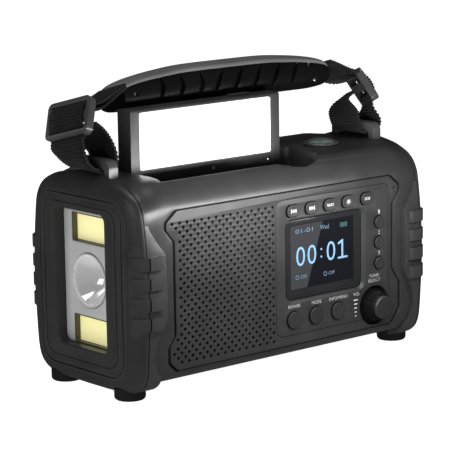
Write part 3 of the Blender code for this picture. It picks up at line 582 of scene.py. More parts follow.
def end_piece(side, s, kind, material):
    piece = end_solid(f"{side}_{kind}", s)
    edge = SEAM - 0.3 if kind == "bumper" else SEAM + 0.3
    lo, hi = sorted((s * edge, s * (140 if kind == "bumper" else 0)))
    if kind == "bumper":
        inner = [(0, -10), *[(s * x, z) for z, x in BUMPER_EDGE], (0, 140)]
        cut(piece, shell_loft("shell_room", 0.25, 101))
        cut(piece, prism("contour", "xz", [rounded(inner, 3, 5)], -70, 70))
    cut(piece, block("other_side", (lo, -80, -20), (hi, 80, 150)))
    for x, y in FEET:
        if x * s > 0:
            cut(piece, turned("foot_room", [(0, -5), (8.75, -5), (8.75, 7.3), (0, 7.3)], (x, y, 0), "z", steps=48))
    if kind != "bumper":
        for grow in (0.0, 4.6):
            groove = [rect(-36.5 + grow, 12.2 + grow, 36.5 - grow, 107.5 - grow, 11 - grow / 2),
                      rect(-35.7 + grow, 13.0 + grow, 35.7 - grow, 106.7 - grow, 10.2 - grow / 2)]
            deep, out = sorted((s * (105.9 if grow == 0 else 106.5), s * 112))
            cut(piece, prism("groove", "yz", groove, deep, out))
        window = [rect(-22 - g, 24.3 - g, 22 + g, 99 + g, 4 + g) for g in (0, 0, 0.9)]
        if s < 0:
            places = (-90, -106.2, -107.3)
        else:
            places = (104.5, 106.2, 107.3)
        opening = loft("window", [[(x, y, z) for y, z in ring] for ring, x in zip(window, places)])
        cut(piece, opening)
    piece.data.materials.append(M[material])
    finish(piece, 0.5, 2, 38, 34)
    if kind == "bumper":
        # the face inside the seam is never seen, and it would be filled across the lamp's opening
        bm = bmesh.new()
        bm.from_mesh(piece.data)
        hidden = [f for f in bm.faces if abs(f.calc_center_median().x) < SEAM * MM and abs(f.normal.x) > 0.99
                  and abs(abs(f.calc_center_median().x) - (SEAM - 0.3) * MM) < 0.02 * MM]
        bmesh.ops.delete(bm, geom=hidden, context="FACES_ONLY")
        bm.to_mesh(piece.data)
        bm.free()
    ride(piece, "body", f"{side}_{kind}")


def foot(name, x, y):
    profile = [(0, 0), (6.4, 0), (6.4, 0.5), (6.9, 0.5), (7.6, 0.2), (8.3, 0.9), (8.5, 1.8), (8.5, 7), (0, 7)]
    piece = turned(name + "_pad", profile, (x, y, 0), "z", "foot", steps=56)
    ride(finish(piece, 0, sharp=35), "body", name)


# ---------------------------------------------------------------- lamp end


def lamp_end():
    plate = prism("lamp_bezel", "yz", [rect(-21.7, 24.6, 21.7, 98.7, 3.7)], -100.6, -95)
    for z in (88.3, 32.3):
        rings = [[(x, y, zz) for y, zz in rect(-14.9 - g, z - 7.95 - g, 14.9 + g, z + 7.95 + g, 0.8 + g)]
                 for x, g in ((-96, 0), (-100.3, 0), (-101.0, 0.5))]
        cut(plate, loft("flood_pocket", rings))
    hole = [(0, -110), (16.2, -110), (16.2, -101.2), (14.8, -99.9), (14.8, -90), (0, -90)]
    cut(plate, turned("reflector_hole", hole, (0, 0, 60.3), "x", steps=72))
    plate.data.materials.append(M["plate"])
    ride(finish(plate, 0.3, 2, 40, 35), "body", "lamp_plate")
    for name, z in (("upper", 88.3), ("lower", 32.3)):
        panel = block(f"{name}_flood", (-97, -14.4, z - 7.6), (-96.0, 14.4, z + 7.6))
        panel.data.materials.append(M["flood"])
        ride(finish(panel, 0.15), "body", f"{name}_flood_panel")
        rim = prism(f"{name}_flood_rim", "yz", [rect(-14.85, z - 7.9, 14.85, z + 7.9, 0.8),
                                               rect(-14.35, z - 7.4, 14.35, z + 7.4, 0.5)], -100.4, -96.9, "well")
        ride(finish(rim, 0.1), "body")
    profile = []
    for k in range(15):
        t = k / 14
        profile.append((3.6 + 10.3 * t ** 0.62, -87.8 - 12.2 * t))
    profile += [(13.9, -101.0), (14.65, -101.0), (14.65, -100.0)]
    profile += [(r + 0.8, x + 0.5) for r, x in reversed(profile[2:13])]
    profile += [(3.6, -87.0), profile[0]]
    # the bowl's brightness is a painted reflection from the near-white base colour of its material
    bowl = turned("spot_bowl", profile, (0, 0, 60.3), "x", "chrome", steps=80)
    ride(finish(bowl, 0, sharp=50), "body", "spot_reflector")
    base = turned("spot_chip", [(0, -89.4), (1.6, -89.4), (2.1, -89.0), (2.4, -88.4), (2.4, -87.2), (0, -87.2)],
                  (0, 0, 60.3), "x", "led", steps=32)
    ride(finish(base, 0), "body", "spot_led")


# ---------------------------------------------------------------- speaker face and control face

PILLS = [middle(f"function_button_{i + 1}")[0] for i in range(5)]
PRESETS = [middle(f"preset_button_{i + 1}")[2] for i in range(3)]
PRESET_X = middle("preset_button_1")[0]
LOWER = [middle(f"{name}_button")[0] for name in ("power", "mode", "menu")]
LOWER_Z = middle("power_button")[2]
BUTTON_Y = box_mm("power_button")[0][1]
HOLE_PITCH = 5.0
PANEL_BACK = FACE_Y + 1.7


def inside(point, loop):
    hit = False
    x, z = point
    for (x0, z0), (x1, z1) in zip(loop, loop[1:] + loop[:1]):
        if (z0 > z) != (z1 > z) and x < x0 + (x1 - x0) * (z - z0) / (z1 - z0):
            hit = not hit
    return hit


def clearance(point, loop):
    p = Vector(point)
    best = 1e9
    for a, b in zip(loop, loop[1:] + loop[:1]):
        a, b = Vector(a), Vector(b)
        t = min(max((p - a).dot(b - a) / (b - a).length_squared, 0), 1)
        best = min(best, (p - a - (b - a) * t).length)
    return best


def speaker_face():
    outline = rounded([(x * 0.981, 58.4 + (z - 58.4) * 0.982) for x, z in PANEL], 2)
    holes = []
    for row in range(31):
        z = 94.5 - row * HOLE_PITCH / 2
        shift = 0 if row % 2 == 0 else HOLE_PITCH / 2
        for column in range(-2, 14):
            x = -75.4 + shift + column * HOLE_PITCH
            if x < -10.2 and inside((x, z), outline) and clearance((x, z), outline) > 2.2:
                holes.append(circle(x, z, 0.95, 14))
    face = prism("speaker_face", "xz",
                 [outline, rect(-8.8, 20.7, 77.8, 97.5, 5.3), *holes, circle(81.3, 94.1, 0.8, 14)],
                 FACE_Y, PANEL_BACK)
    cut(face, turned("knob_room", [(0, -60), (11.4, -60), (11.4, -40), (0, -40)], (KNOB_X, 0, KNOB_Z), "y", steps=96))
    face.data.materials.append(M["panel"])
    ride(finish(face, 0.32, 2, 40, 35), "body", "front_panel")
    # painted shade: a black ring sits in the gap round the panel to darken the groove; it stands for no real gasket
    seat = rounded([(x * 0.998, 58.4 + (z - 58.4) * 0.998) for x, z in PANEL], 2)
    inner = rounded([(x * 0.972, 58.4 + (z - 58.4) * 0.972) for x, z in PANEL], 2)
    ride(prism("panel_gap_painted_shade", "xz", [seat, inner], FACE_Y + 0.6, PANEL_BACK - 0.02, "dark"), "body")
    cloth = prism("grille_cloth", "xz", [rect(-77.5, 17, -9.5, 97)], PANEL_BACK + 0.02, PANEL_BACK + 0.12, "dark")
    ride(cloth, "body")


def control_face():
    holes = [rect(x - 5.0, 86.9, x + 5.0, 94.3, 3.6, 8) for x in PILLS]
    holes += [circle(PRESET_X, z, 3.85, 40) for z in PRESETS] + [circle(x, LOWER_Z, 5.05, 48) for x in LOWER]
    face = prism("control_face", "xz", [rect(-8.5, 21, 77.5, 97.2, 5, 8), *holes], FACE_Y, PANEL_BACK)
    bezel = loft("bezel", [[(x, y, z) for x, z in rect(-1.3 * g, 40 - g, 57 + 1.3 * g, 84.9 + 0.7 * g, 4 + g, 8)]
                           for y, g in ((-44.0, 0.0), (-44.85, 0.0), (-46.2, 1.1), (-46.65, 1.75))])
    cut(face, bezel)
    cut(face, turned("knob_room", [(0, -60), (11.4, -60), (11.4, -40), (0, -40)], (KNOB_X, 0, KNOB_Z), "y", steps=96))
    face.data.materials.append(M["panel"])
    ride(finish(face, 0.3, 2, 32, 28), "body", "control_panel")
    glass = prism("screen_glass", "xz", [rect(0.3, 40.3, 56.7, 84.6, 3.7)], -44.78, -43.7, "glass")
    ride(finish(glass, 0.12), "body", "screen_window")
    # painted shade: a black sheet behind the knob's hole blacks out the recess round the volume ring
    backing = prism("knob_well_painted_shade", "xz", [rect(KNOB_X - 11.6, KNOB_Z - 11.6, KNOB_X + 11.6, KNOB_Z + 11.6, 2),
                                             circle(KNOB_X, KNOB_Z, 3.4, 40)],
                    PANEL_BACK + 0.02, PANEL_BACK + 0.1, "dark")
    ride(backing, "body")


def dish(name, loop_at, depth_profile, body, node, material="button"):
    """A button cap: outline loops going inwards from its rim, each at its own depth from the front."""
    rings = []
    for inset, y in depth_profile:
        rings.append([(x, y, z) for x, z in loop_at(inset)])
    piece = loft(name, rings, material)
    # painted shade: the side walls of each cap take the near-black material, for the dark crescent in the gap round the
    # button
    piece.data.materials.append(M["dark"])
    for polygon in piece.data.polygons:
        polygon.material_index = int(abs(polygon.normal.y) < 0.35)
    ride(finish(piece, 0, sharp=50), body, node)
    return piece


def sign(name, loops, y, body, material="label", thick=0.05):
    """A printed mark: flat loops standing a hair proud of the surface at y."""
    ride(prism(name, "xz", loops, y - thick, y + 0.06, material), body)


def text(name, words, x0, z0, height, y, body, material="label", width=None, centred=True, bold=0.0):
    """Generic lettering in a plain face, fitted to a height and, if given, a width."""
    curve = bpy.data.curves.new(name, "FONT")
    curve.body = words
    curve.size = height * MM * 1.4
    curve.extrude = 0.00003
    curve.offset = bold * MM
    curve.resolution_u = 3
    curve.align_x = "CENTER" if centred else "LEFT"
    holder = place(name + "_curve", curve)
    mesh = evaluated_mesh(holder)
    bpy.data.objects.remove(holder)
    xs = [v.co.x for v in mesh.vertices]
    ys = [v.co.y for v in mesh.vertices]
    fit = width * MM / (max(xs) - min(xs)) if width else 1
    tall = height * MM / (max(ys) - min(ys)) if width else 1
    for v in mesh.vertices:
        v.co = Vector((v.co.x * fit + x0 * MM, y * MM + v.co.z, v.co.y * tall + z0 * MM))
    # the letters' plane is turned to face the front, so the faces are turned round
    mesh.flip_normals()
    mesh.materials.clear()
    piece = place(name, mesh, material)
    ride(piece, body)


PILL_Z = 90.6


def buttons():
    front = BUTTON_Y
    cap = [(0.5, -44.6), (0.0, -45.2), (0.0, front + 0.35), (0.12, front + 0.1), (0.4, front), (0.9, front + 0.05),
           (1.7, front + 0.2), (2.6, front + 0.28)]
    for i, x in enumerate(PILLS):
        node = f"function_button_{i + 1}"
        dish(f"pill_{i + 1}", lambda g, x=x: rect(x - 4.6 + g, 87.2 + g, x + 4.6 - g, 94.0 - g, max(3.3 - g, 0.3), 8),
             cap, node, node)
    for i, z in enumerate(PRESETS):
        node = f"preset_button_{i + 1}"
        dish(f"preset_{i + 1}", lambda g, z=z: circle(PRESET_X, z, 3.5 - g, 40), cap, node, node)
    for x, name in zip(LOWER, ("power", "mode", "menu")):
        node = f"{name}_button"
        dish(f"{name}_cap", lambda g, x=x: circle(x, LOWER_Z, 4.7 - g * 1.3, 56), cap, node, node)


def icons():
    y = BUTTON_Y + 0.26
    x0, x1, x2, x3, x4 = PILLS
    z = PILL_Z
    b = [f"function_button_{i + 1}" for i in range(5)]
    sign("icon_back_bar", [rect(x0 - 1.9, z - 1.1, x0 - 1.4, z + 1.1)], y, b[0], "white")
    sign("icon_back_arrow", [[(x0 - 1.3, z), (x0 + 0.4, z - 1.1), (x0 + 0.4, z + 1.1)]], y, b[0], "white")
    sign("icon_back_arrow_2", [[(x0 + 0.4, z), (x0 + 2.0, z - 1.1), (x0 + 2.0, z + 1.1)]], y, b[0], "white")
    sign("icon_next_bar", [rect(x1 + 1.4, z - 1.1, x1 + 1.9, z + 1.1)], y, b[1], "white")
    sign("icon_next_arrow", [[(x1 - 2.0, z - 1.1), (x1 - 0.4, z), (x1 - 2.0, z + 1.1)]], y, b[1], "white")
    sign("icon_next_arrow_2", [[(x1 - 0.4, z - 1.1), (x1 + 1.3, z), (x1 - 0.4, z + 1.1)]], y, b[1], "white")
    text("icon_word", "RESET", x2, z - 0.75, 1.5, y, b[2], "white", width=5.2)
    sign("icon_light", [circle(x3, z, 0.75, 20)], y, b[3], "white")
    for k in range(8):
        a = 2 * math.pi * k / 8
        c, s = math.cos(a), math.sin(a)
        ray = [(x3 + c * r - s * w, z + s * r + c * w)
               for r, w in ((1.05, -0.14), (1.6, -0.14), (1.6, 0.14), (1.05, 0.14))]
        sign(f"icon_ray_{k}", [ray], y, b[3], "white")
    text("icon_sos", "SOS", x4, z - 0.8, 1.6, y, b[4], "white", width=4.2)
    for i, zz in enumerate(PRESETS):
        text(f"numeral_{i + 1}", str(i + 1), PRESET_X + 0.5, zz + 4.6, 2.3, FACE_Y, "body", width=1.3)
    text("label_power", "POWER", 4.6, 36.0, 1.9, FACE_Y, "body", width=9.0)
    text("label_mode", "MODE", 21.2, 35.9, 1.9, FACE_Y, "body", width=7.2)
    text("label_menu", "INFO/MENU", 37.8, 35.8, 1.9, FACE_Y, "body", width=14.0)
    text("label_tune", "TUNE/", KNOB_X, 44.4, 1.8, FACE_Y, "body", width=8.0)
    text("label_select", "SELECT", KNOB_X, 41.6, 1.8, FACE_Y, "body", width=9.6)
    text("label_volume", "VOL", 51.9, 35.6, 1.9, FACE_Y, "body", width=5.0)
    for k in range(5):
        half = 0.45 + 0.28 * k
        zz = 24.0 + 2.3 * k
        sign(f"volume_dash_{k}", [rect(51.2 - half, zz - 0.3, 51.2 + half, zz + 0.3)], FACE_Y, "body", "white")


DISPLAY_Y = -44.78


def display():
    y = DISPLAY_Y
    sign("display_field", [rect(3.4, 45.7, 51.3, 81.9, 0.6)], y, "body", "field", 0.006)
    # painted reflection: a faint lighter diagonal band across the screen
    sign("display_painted_reflection", [[(3.7, 81.6), (3.7, 45.9), (15.9, 45.9), (27.9, 81.6)]], y, "body", "band", 0.014)
    for k, (x, word) in enumerate(((11.2, "0"), (19.6, "0"), (34.0, "0"))):
        text(f"clock_digit_{k}", word, x, 58.5, 10.9, y, "body", "digits", width=6.5, bold=-0.09)
    for k, z in enumerate((61.6, 65.9)):
        sign(f"clock_colon_{k}", [circle(26.7, z, 0.6, 16)], y, "body", "digits")
    one = [(43.3, 59.6), (46.6, 59.6), (46.6, 58.5), (39.2, 58.5), (39.2, 59.6), (42.0, 59.6), (42.0, 67.6),
           (39.6, 66.6), (39.2, 67.6), (42.4, 69.3), (43.3, 69.3)]
    sign("clock_digit_3", [one[::-1]], y, "body", "digits")
    text("clock_date", "01-01", 14.5, 77.0, 2.4, y, "body", "digits_dim", width=13.0)
    text("clock_day", "Wed", 29.3, 77.0, 2.4, y, "body", "digits_dim", width=6.6)
    sign("battery_outline", [rect(41.0, 76.4, 46.4, 78.9, 0.3, 2), rect(41.45, 76.85, 45.95, 78.45, 0.1, 2)], y, "body",
         "digits_green", 0.05)
    for k in range(3):
        sign(f"battery_bar_{k}", [rect(41.9 + 1.3 * k, 77.1, 42.8 + 1.3 * k, 78.2)], y, "body", "digits_green", 0.05)
    for k, (x, z) in enumerate(((8.6, 51.3), (29.6, 50.5))):
        sign(f"timer_icon_{k}", [circle(x, z + 1, 1.3, 24), circle(x, z + 1, 0.95, 24)], y, "body", "digits_dim", 0.05)
        text(f"timer_word_{k}", "Off", x + 4.6, z, 2.0, y, "body", "digits_dim", width=4.6)


M["field"] = glowing("display_field", (0.004, 0.004, 0.005), (0.25, 0.5, 0.9), 0.004, 0.16)
# the band's glow is a painted reflection on the screen glass
M["band"] = glowing("display_painted_reflection", (0.012, 0.012, 0.013), (0.8, 0.85, 0.9), 0.045, 0.16)
M["digits"] = glowing("display_digits", (0.06, 0.12, 0.2), (0.30, 0.58, 0.90), 0.75, 0.3)
M["digits_green"] = glowing("display_battery_mark", (0.02, 0.05, 0.05), (0.15, 0.55, 0.45), 0.16, 0.3)
M["digits_dim"] = glowing("display_small_marks", (0.05, 0.08, 0.12), (0.30, 0.45, 0.75), 0.30, 0.3)


# ---------------------------------------------------------------- volume ring and tuning knob


def knobs():
    flutes = 36
    rings = []
    profile = [(9.0, -45.0), (9.2, -45.4), (9.1, -46.2), (8.75, -48.0), (8.3, -50.0), (7.9, -52.0), (7.75, -52.9),
               (7.5, -53.3)]
    for r, y in profile:
        ring = []
        for k in range(flutes * 6):
            a = 2 * math.pi * k / (flutes * 6)
            rib = abs(math.sin(a * flutes / 2))
            deep = 0.55 if -53.0 < y < -45.2 else 0.15
            rr = r - deep * (1 - rib ** 0.6)
            ring.append((KNOB_X + rr * math.cos(a), y, KNOB_Z + rr * math.sin(a)))
        rings.append(ring)
    body = loft("ribbed_ring", rings)
    cut(body, turned("bore", [(0, -40), (3.6, -40), (3.6, -50.5), (7.05, -50.5), (7.05, -60), (0, -60)],
                     (KNOB_X, 0, KNOB_Z), "y", steps=72))
    body.data.materials.append(M["knob"])
    ride(finish(body, 0, sharp=42), "volume", "volume_ring")
    cap = turned("knob_cap", [(3.05, -51.1), (6.5, -51.1), (6.7, -51.4), (6.7, -54.4), (6.55, -54.95), (6.15, -55.3),
                              (5.6, -55.42), (4.2, -55.3), (0, -55.2)], (KNOB_X, 0, KNOB_Z), "y", steps=72)
    cap.data.materials.append(M["knob_face"])
    ride(finish(cap, 0, sharp=45), "tuner", "tuning_knob")


# ---------------------------------------------------------------- lamp flap

FLAP_FRONT, FLAP_REAR, FLAP_TOP = -10.3, 0.9, 150.8
FLAP_SCREWS, FLAP_SCREW_Z = (-21.0, 19.0), 113.4


def flap():
    section = [(FLAP_REAR, HINGE_Z), *[(FLAP_REAR - 1.2 + 1.2 * math.cos(a), FLAP_TOP - 1.2 + 1.2 * math.sin(a))
                                       for a in (0, 0.5, 1.05, math.pi / 2)]]
    section += [(FLAP_FRONT + 1.5 - 1.5 * math.sin(a), FLAP_TOP - 1.5 + 1.5 * math.cos(a))
                for a in (0, 0.4, 0.8, 1.2, math.pi / 2)]
    section += [(HINGE_Y - 11.3 * math.cos(a), HINGE_Z - 11.3 * math.sin(a))
                for a in [math.pi / 2 * k / 20 for k in range(21)]]
    section += [(HINGE_Y, HINGE_Z - 2.2)]
    frame_piece = prism("flap_body", "yz", [section], FLAP_X0, FLAP_X1)
    join(frame_piece, turned("knuckle", [(0, FLAP_X0), (2.4, FLAP_X0), (2.4, FLAP_X1), (0, FLAP_X1)],
                             (0, HINGE_Y, HINGE_Z), "x", steps=40))
    cut(frame_piece, prism("diffuser_hole", "xz", [rect(FLAP_X0 + 6, 117.3, FLAP_X1 - 6, 149, 1.5)], -20, -7.6),
        prism("solar_hole", "xz", [rect(FLAP_X0 + 6, 121, FLAP_X1 - 6, 147.4, 1)], -1.4, 10))
    for x in FLAP_SCREWS:
        cut(frame_piece, turned("screw_hole", [(0, -14), (1.5, -14), (1.5, -9.2), (0, -9.2)],
                                (x, 0, FLAP_SCREW_Z), "y", steps=24))
    frame_piece.data.materials.append(M["flap"])
    ride(finish(frame_piece, 0.35, 2, 40, 35), "flap", "flap_frame")
    pins = turned("hinge_pins", [(0, FLAP_X0 - 2.6), (0.9, FLAP_X0 - 2.6), (1.1, FLAP_X0 - 2.4), (1.1, FLAP_X1 + 2.4),
                                 (0.9, FLAP_X1 + 2.6), (0, FLAP_X1 + 2.6)],
                  (0, HINGE_Y, HINGE_Z), "x", "steel", steps=24)
    ride(finish(pins), "flap")
    tab = prism("flap_catch", "xz", [rounded([(-5.2, 150.2), (9.2, 150.2), (8.6, 152.1), (-4.6, 152.1)], 0.5, 4)],
                -6.6, -2.6, "flap")
    ride(finish(tab, 0.3), "flap")
    for k, x in enumerate(FLAP_SCREWS):
        head = turned(f"flap_screw_{k}", [(0, -9.2), (1.4, -9.2), (1.4, -9.6), (1.0, -9.95), (0, -10.05)],
                      (x, 0, FLAP_SCREW_Z), "y", "steel", steps=24)
        ride(finish(head, 0, sharp=60), "flap")
    panel = prism("lit_diffuser", "xz", [rect(FLAP_X0 + 6.3, 117.6, FLAP_X1 - 6.3, 148.7, 1.3)], -9.9, -7.9, "diffuser")
    ride(finish(panel, 0.3), "flap", "lamp_diffuser")
    cells = prism("solar_cells", "xz", [rect(FLAP_X0 + 6.3, 121.3, FLAP_X1 - 6.3, 147.1, 0.8)], -1.1, 0.5, "solar")
    ride(finish(cells, 0.15), "flap", "solar_panel")
    x = FLAP_X0 + 9.3
    count = 12
    pitch = (FLAP_X1 - FLAP_X0 - 18.6) / count
    for k in range(count + 1):
        bar = block(f"cell_bus_{k}", (x + k * pitch - 0.22, 0.5, 122.3), (x + k * pitch + 0.22, 0.56, 146.1), "steel")
        ride(bar, "flap")


# ---------------------------------------------------------------- compass


def compass():
    ring = turned("compass_rim", [(0, 107.6), (9.2, 107.6), (9.2, 117.4), (10.3, 117.6), (10.4, 118.0), (10.1, 118.5),
                                  (9.2, 118.8), (8.6, 118.6), (8.5, 118.2), (8.5, 116.0), (0.9, 116.0), (0, 116.9)],
                  (QX, QY, 0), "z", "compass_ring", steps=96)
    ride(finish(ring, 0, sharp=50), "body", "compass_housing")
    card = turned("compass_dial", [(0, 117.2), (7.4, 117.2), (7.4, 117.6), (7.2, 117.8), (0, 117.8)], (QX, QY, 0), "z",
                  "card", steps=72)
    ride(finish(card, 0, sharp=50), "compass", "compass_card")
    for k in range(24):
        a = 2 * math.pi * k / 24
        c, s = math.cos(a), math.sin(a)
        short, wide = (5.3, 0.22) if k % 6 == 0 else (5.9, 0.15)
        mark = [(QX + c * r - s * w, QY + s * r + c * w)
                for r, w in ((short, -wide), (6.9, -wide), (6.9, wide), (short, wide))]
        ride(prism(f"dial_mark_{k}", "xy", [mark], 117.75, 117.9, "white"), "compass")
    for k, letter in enumerate("ENWS"):
        a = math.pi / 2 * k
        curve = bpy.data.curves.new(f"dial_{letter}", "FONT")
        curve.body = letter
        curve.size = 3.0 * MM
        curve.extrude = 0.00004
        curve.align_x = "CENTER"
        curve.align_y = "CENTER"
        holder = place("dial_curve", curve)
        mesh = evaluated_mesh(holder)
        bpy.data.objects.remove(holder)
        turn = Matrix.Translation(Vector((QX + 3.6 * math.cos(a), QY + 3.6 * math.sin(a), 117.85)) * MM)
        mesh.transform(turn @ Matrix.Rotation(a - math.pi / 2, 4, "Z"))
        mesh.materials.clear()
        ride(place(f"dial_letter_{letter}", mesh, "white"), "compass")
    dome = [(0, 120.3), (2.4, 120.2), (4.7, 119.8), (6.7, 119.1), (7.7, 118.3), (7.7, 116.3), (8.4, 116.3),
            (8.4, 118.6), (7.2, 119.7), (5, 120.5), (2.5, 120.9), (0, 121.0)]
    lens = turned("compass_lens", dome, (QX, QY, 0), "z", "lens", steps=72)
    ride(finish(lens, 0, sharp=50), "body", "compass_cover")


# ---------------------------------------------------------------- carrying handle

HANDLE_FRAME = Matrix.Translation(Vector((0, 0, HANDLE_Z)) * MM) @ Matrix.Rotation(-LEAN, 4, "X")


def leaned(x, back, up):
    """A point of the handle: back runs through its thickness and up along its leaning height."""
    blend = min(max((up - 1.0) / 11.0, 0.0), 1.0)
    angle = LEAN * blend * blend * (3 - 2 * blend)
    return (x, back * math.cos(angle) + up * math.sin(angle), HANDLE_Z + up * math.cos(angle) - back * math.sin(angle))


def resample(path, step):
    """Points at equal steps along a dense line, with the distance of each."""
    points = [Vector(p) for p in path]
    total = sum((b - a).length for a, b in zip(points, points[1:]))
    count = max(int(round(total / step)), 2)
    out, i, done = [], 0, 0.0
    for k in range(count + 1):
        goal = total * k / count
        while i < len(points) - 2 and done + (points[i + 1] - points[i]).length < goal:
            done += (points[i + 1] - points[i]).length
            i += 1
        span = points[i + 1] - points[i]
        out.append((tuple(points[i] + span * min((goal - done) / max(span.length, 1e-9), 1)), goal))
    return out


WEB_WIDTH, WEB_RIB, WEB_THICK = 25.0, 1.7, 1.5


def webbing(name, path, thick, width=WEB_WIDTH, back=0.0, shape=None):
    """Ribbed tape along a path of (x, up), with its width across the object."""
    shape = shape or (lambda s, w: 0.0)
    stations = resample(path, WEB_RIB / 6)
    rings = []
    for i, ((x, up), s) in enumerate(stations):
        before, after = stations[max(i - 2, 0)][0], stations[min(i + 2, len(stations) - 1)][0]
        along = Vector((after[0] - before[0], after[1] - before[1])).normalized()
        across = Vector((-along.y, along.x))
        rib = abs(math.sin(math.pi * s / WEB_RIB)) ** 0.7
        half = thick / 2 - 0.45 + 0.7 * rib
        wide = width / 2 - 0.25 + 0.3 * rib
        ring = []
        places = [(-1, -1), (-0.97, 1), (-0.5, 1), (0, 1), (0.5, 1), (0.97, 1), (1, 1), (1, -1), (0.97, -1), (0.5, -1),
                  (0, -1), (-0.5, -1), (-0.97, -1)]
        for u, side in places:
            edge = 0.55 if abs(u) == 1 else 1.0
            off = shape(s, u)
            ring.append(leaned(x + across.x * (half * side * edge + off), back + u * wide,
                               up + across.y * (half * side * edge + off)))
        rings.append(ring)
    piece = loft(name, rings, "webbing")
    return finish(piece, 0, sharp=60)


BUCKLE_TILT = math.radians(23)
# where each buckle hangs, and how far it has turned about its own long axis
BUCKLES = {"left": ((105.4, 25.2), math.radians(10)), "right": ((106.0, 22.6), math.radians(-30))}
OUTERS = {"left": [(111.0, 12.6), (110.6, 8.4), (108.6, 3.4), (104.6, -0.2), (100.2, -1.8), (96, -1.95), (92.4, -1.75),
                   (89.8, -0.2), (89.2, 4.6), (90.8, 11.2), (94.4, 16.8), (99.4, 20.6)],
          "right": [(107.8, 12.2), (106.4, 8.2), (104.6, 3.4), (102.6, -0.6), (99.6, -1.8), (96, -1.95), (90.4, -1.1),
                    (87.4, 3.8), (88.4, 10.4), (92.6, 16.2), (99.4, 20.2)]}


def on_buckle(side, s, along, off):
    """A point beside a buckle: along runs down its face and off away from the handle."""
    c, t = math.cos(BUCKLE_TILT), math.sin(BUCKLE_TILT)
    x, up = BUCKLES[side][0]
    return (s * (x + along * t + off * c), up - along * c + off * t)


def twisted(obj, side, s):
    """Turns the vertices near a buckle about the upright line through it, less and less away from it."""
    (x, up), angle = BUCKLES[side]
    centre = Vector((s * x, 0, up))
    for v in obj.data.vertices:
        local = HANDLE_FRAME.inverted() @ v.co / MM
        away = math.hypot(local.x - centre.x, local.z - up)
        weight = min(max((24.0 - away) / 13.0, 0.0), 1.0)
        weight = weight * weight * (3 - 2 * weight)
        c, t = math.cos(angle * weight), math.sin(angle * weight)
        dx, dy = local.x - centre.x, local.y
        v.co = HANDLE_FRAME @ (Vector((centre.x + dx * c - dy * t, dx * t + dy * c, local.z)) * MM)


def straps():
    for side, s in (("left", -1), ("right", 1)):
        b = lambda along, off: on_buckle(side, s, along, off)
        # from the grip, under the buckle, over its middle bar, down round the lug and up again behind the buckle
        outer = [(s * 74.0, 37.2), (s * 76.2, 36.2), (s * 80, 34.4), (s * 87, 30.8), (s * 93, 28.4), (s * 97.6, 28.2),
                 b(-6.9, -0.5), b(-5.8, 1.9), b(-3.0, 3.1), b(0, 3.4), b(3.0, 3.1), b(5.8, 1.9), b(6.9, -0.5)]
        outer += [(s * x, up) for x, up in OUTERS[side]]
        tape = webbing(f"{side}_webbing", spline(outer, 8), WEB_THICK)
        twisted(tape, side, s)
        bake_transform(tape)
        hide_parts(f"{side}_loop", f"{side}_strap")
        fold = [(s * 74.0, 38.9), (s * 76.8, 37.8), (s * 81, 36.0), (s * 87.8, 32.8), (s * 92.6, 31.2),
                (s * 95.6, 31.0)]
        ride(webbing(f"{side}_strap_end", spline(fold, 8), WEB_THICK), "handle")
        frame_piece = prism(f"{side}_slider", "yz",
                            [rect(-16, -10.6, 16, 10.6, 3.4, 8), rect(-13.2, 2.4, 13.2, 7.8, 0.8, 4),
                             rect(-13.2, -7.8, 13.2, -2.4, 0.8, 4)], -2.2, 2.2, "buckle")
        finish(frame_piece, 0.9, 4, 40, 35)
        (x, up), angle = BUCKLES[side]
        turn = Matrix.Translation(Vector((s * x, 0, up)) * MM) @ Matrix.Rotation(angle, 4, "Z")
        # the prism's plane stands upright: it is laid so that its thickness is across the strap
        frame_piece.data.transform(HANDLE_FRAME @ turn @ Matrix.Rotation(-s * BUCKLE_TILT, 4, "Y"))
        ride(frame_piece, "handle", f"{side}_buckle")
        outer_edge = rounded([(-17.6, 112), (17.6, 112), (17.6, 126.7), (-17.6, 126.7)], 4.5, 8)
        inner_edge = [(-13.6, 105), (13.6, 105), (13.6, 122.3), (-13.6, 122.3)]
        lug = prism(f"{side}_bracket", "yz", [outer_edge], s * LUG_X - 3, s * LUG_X + 3)
        cut(lug, prism("inside", "yz", [rounded(inner_edge, 2.6, 6)], s * LUG_X - 5, s * LUG_X + 5))
        lug.data.materials.append(M["lug"])
        ride(finish(lug, 0.7, 3, 40, 35), "body", f"{side}_lug")


GRIP = [(-74.3, 27, 38.5), (-72.5, 26.3, 40.5), (-66, 26, 42.6), (-56, 26, 44.4), (-44, 26, 45.8), (-28, 26.2, 47),
        (0, 26.2, 47.2), (28, 26.2, 47), (44, 26, 45.8), (56, 26, 44.4), (66, 26, 42.6), (72.5, 26.3, 40.5),
        (74.3, 27, 38.5)]
GRIP_BACK, GRIP_HALF = 2.6, 12.3


def grip_point(x, low, high, angle, grow):
    mid, half = (low + high) / 2, (high - low) / 2
    c, t = math.cos(angle), math.sin(angle)
    back = GRIP_BACK + (GRIP_HALF + grow) * math.copysign(abs(c) ** 0.62, c)
    return (x, back, mid + (half + grow) * math.copysign(abs(t) ** (0.66 if t > 0 else 0.8), t))


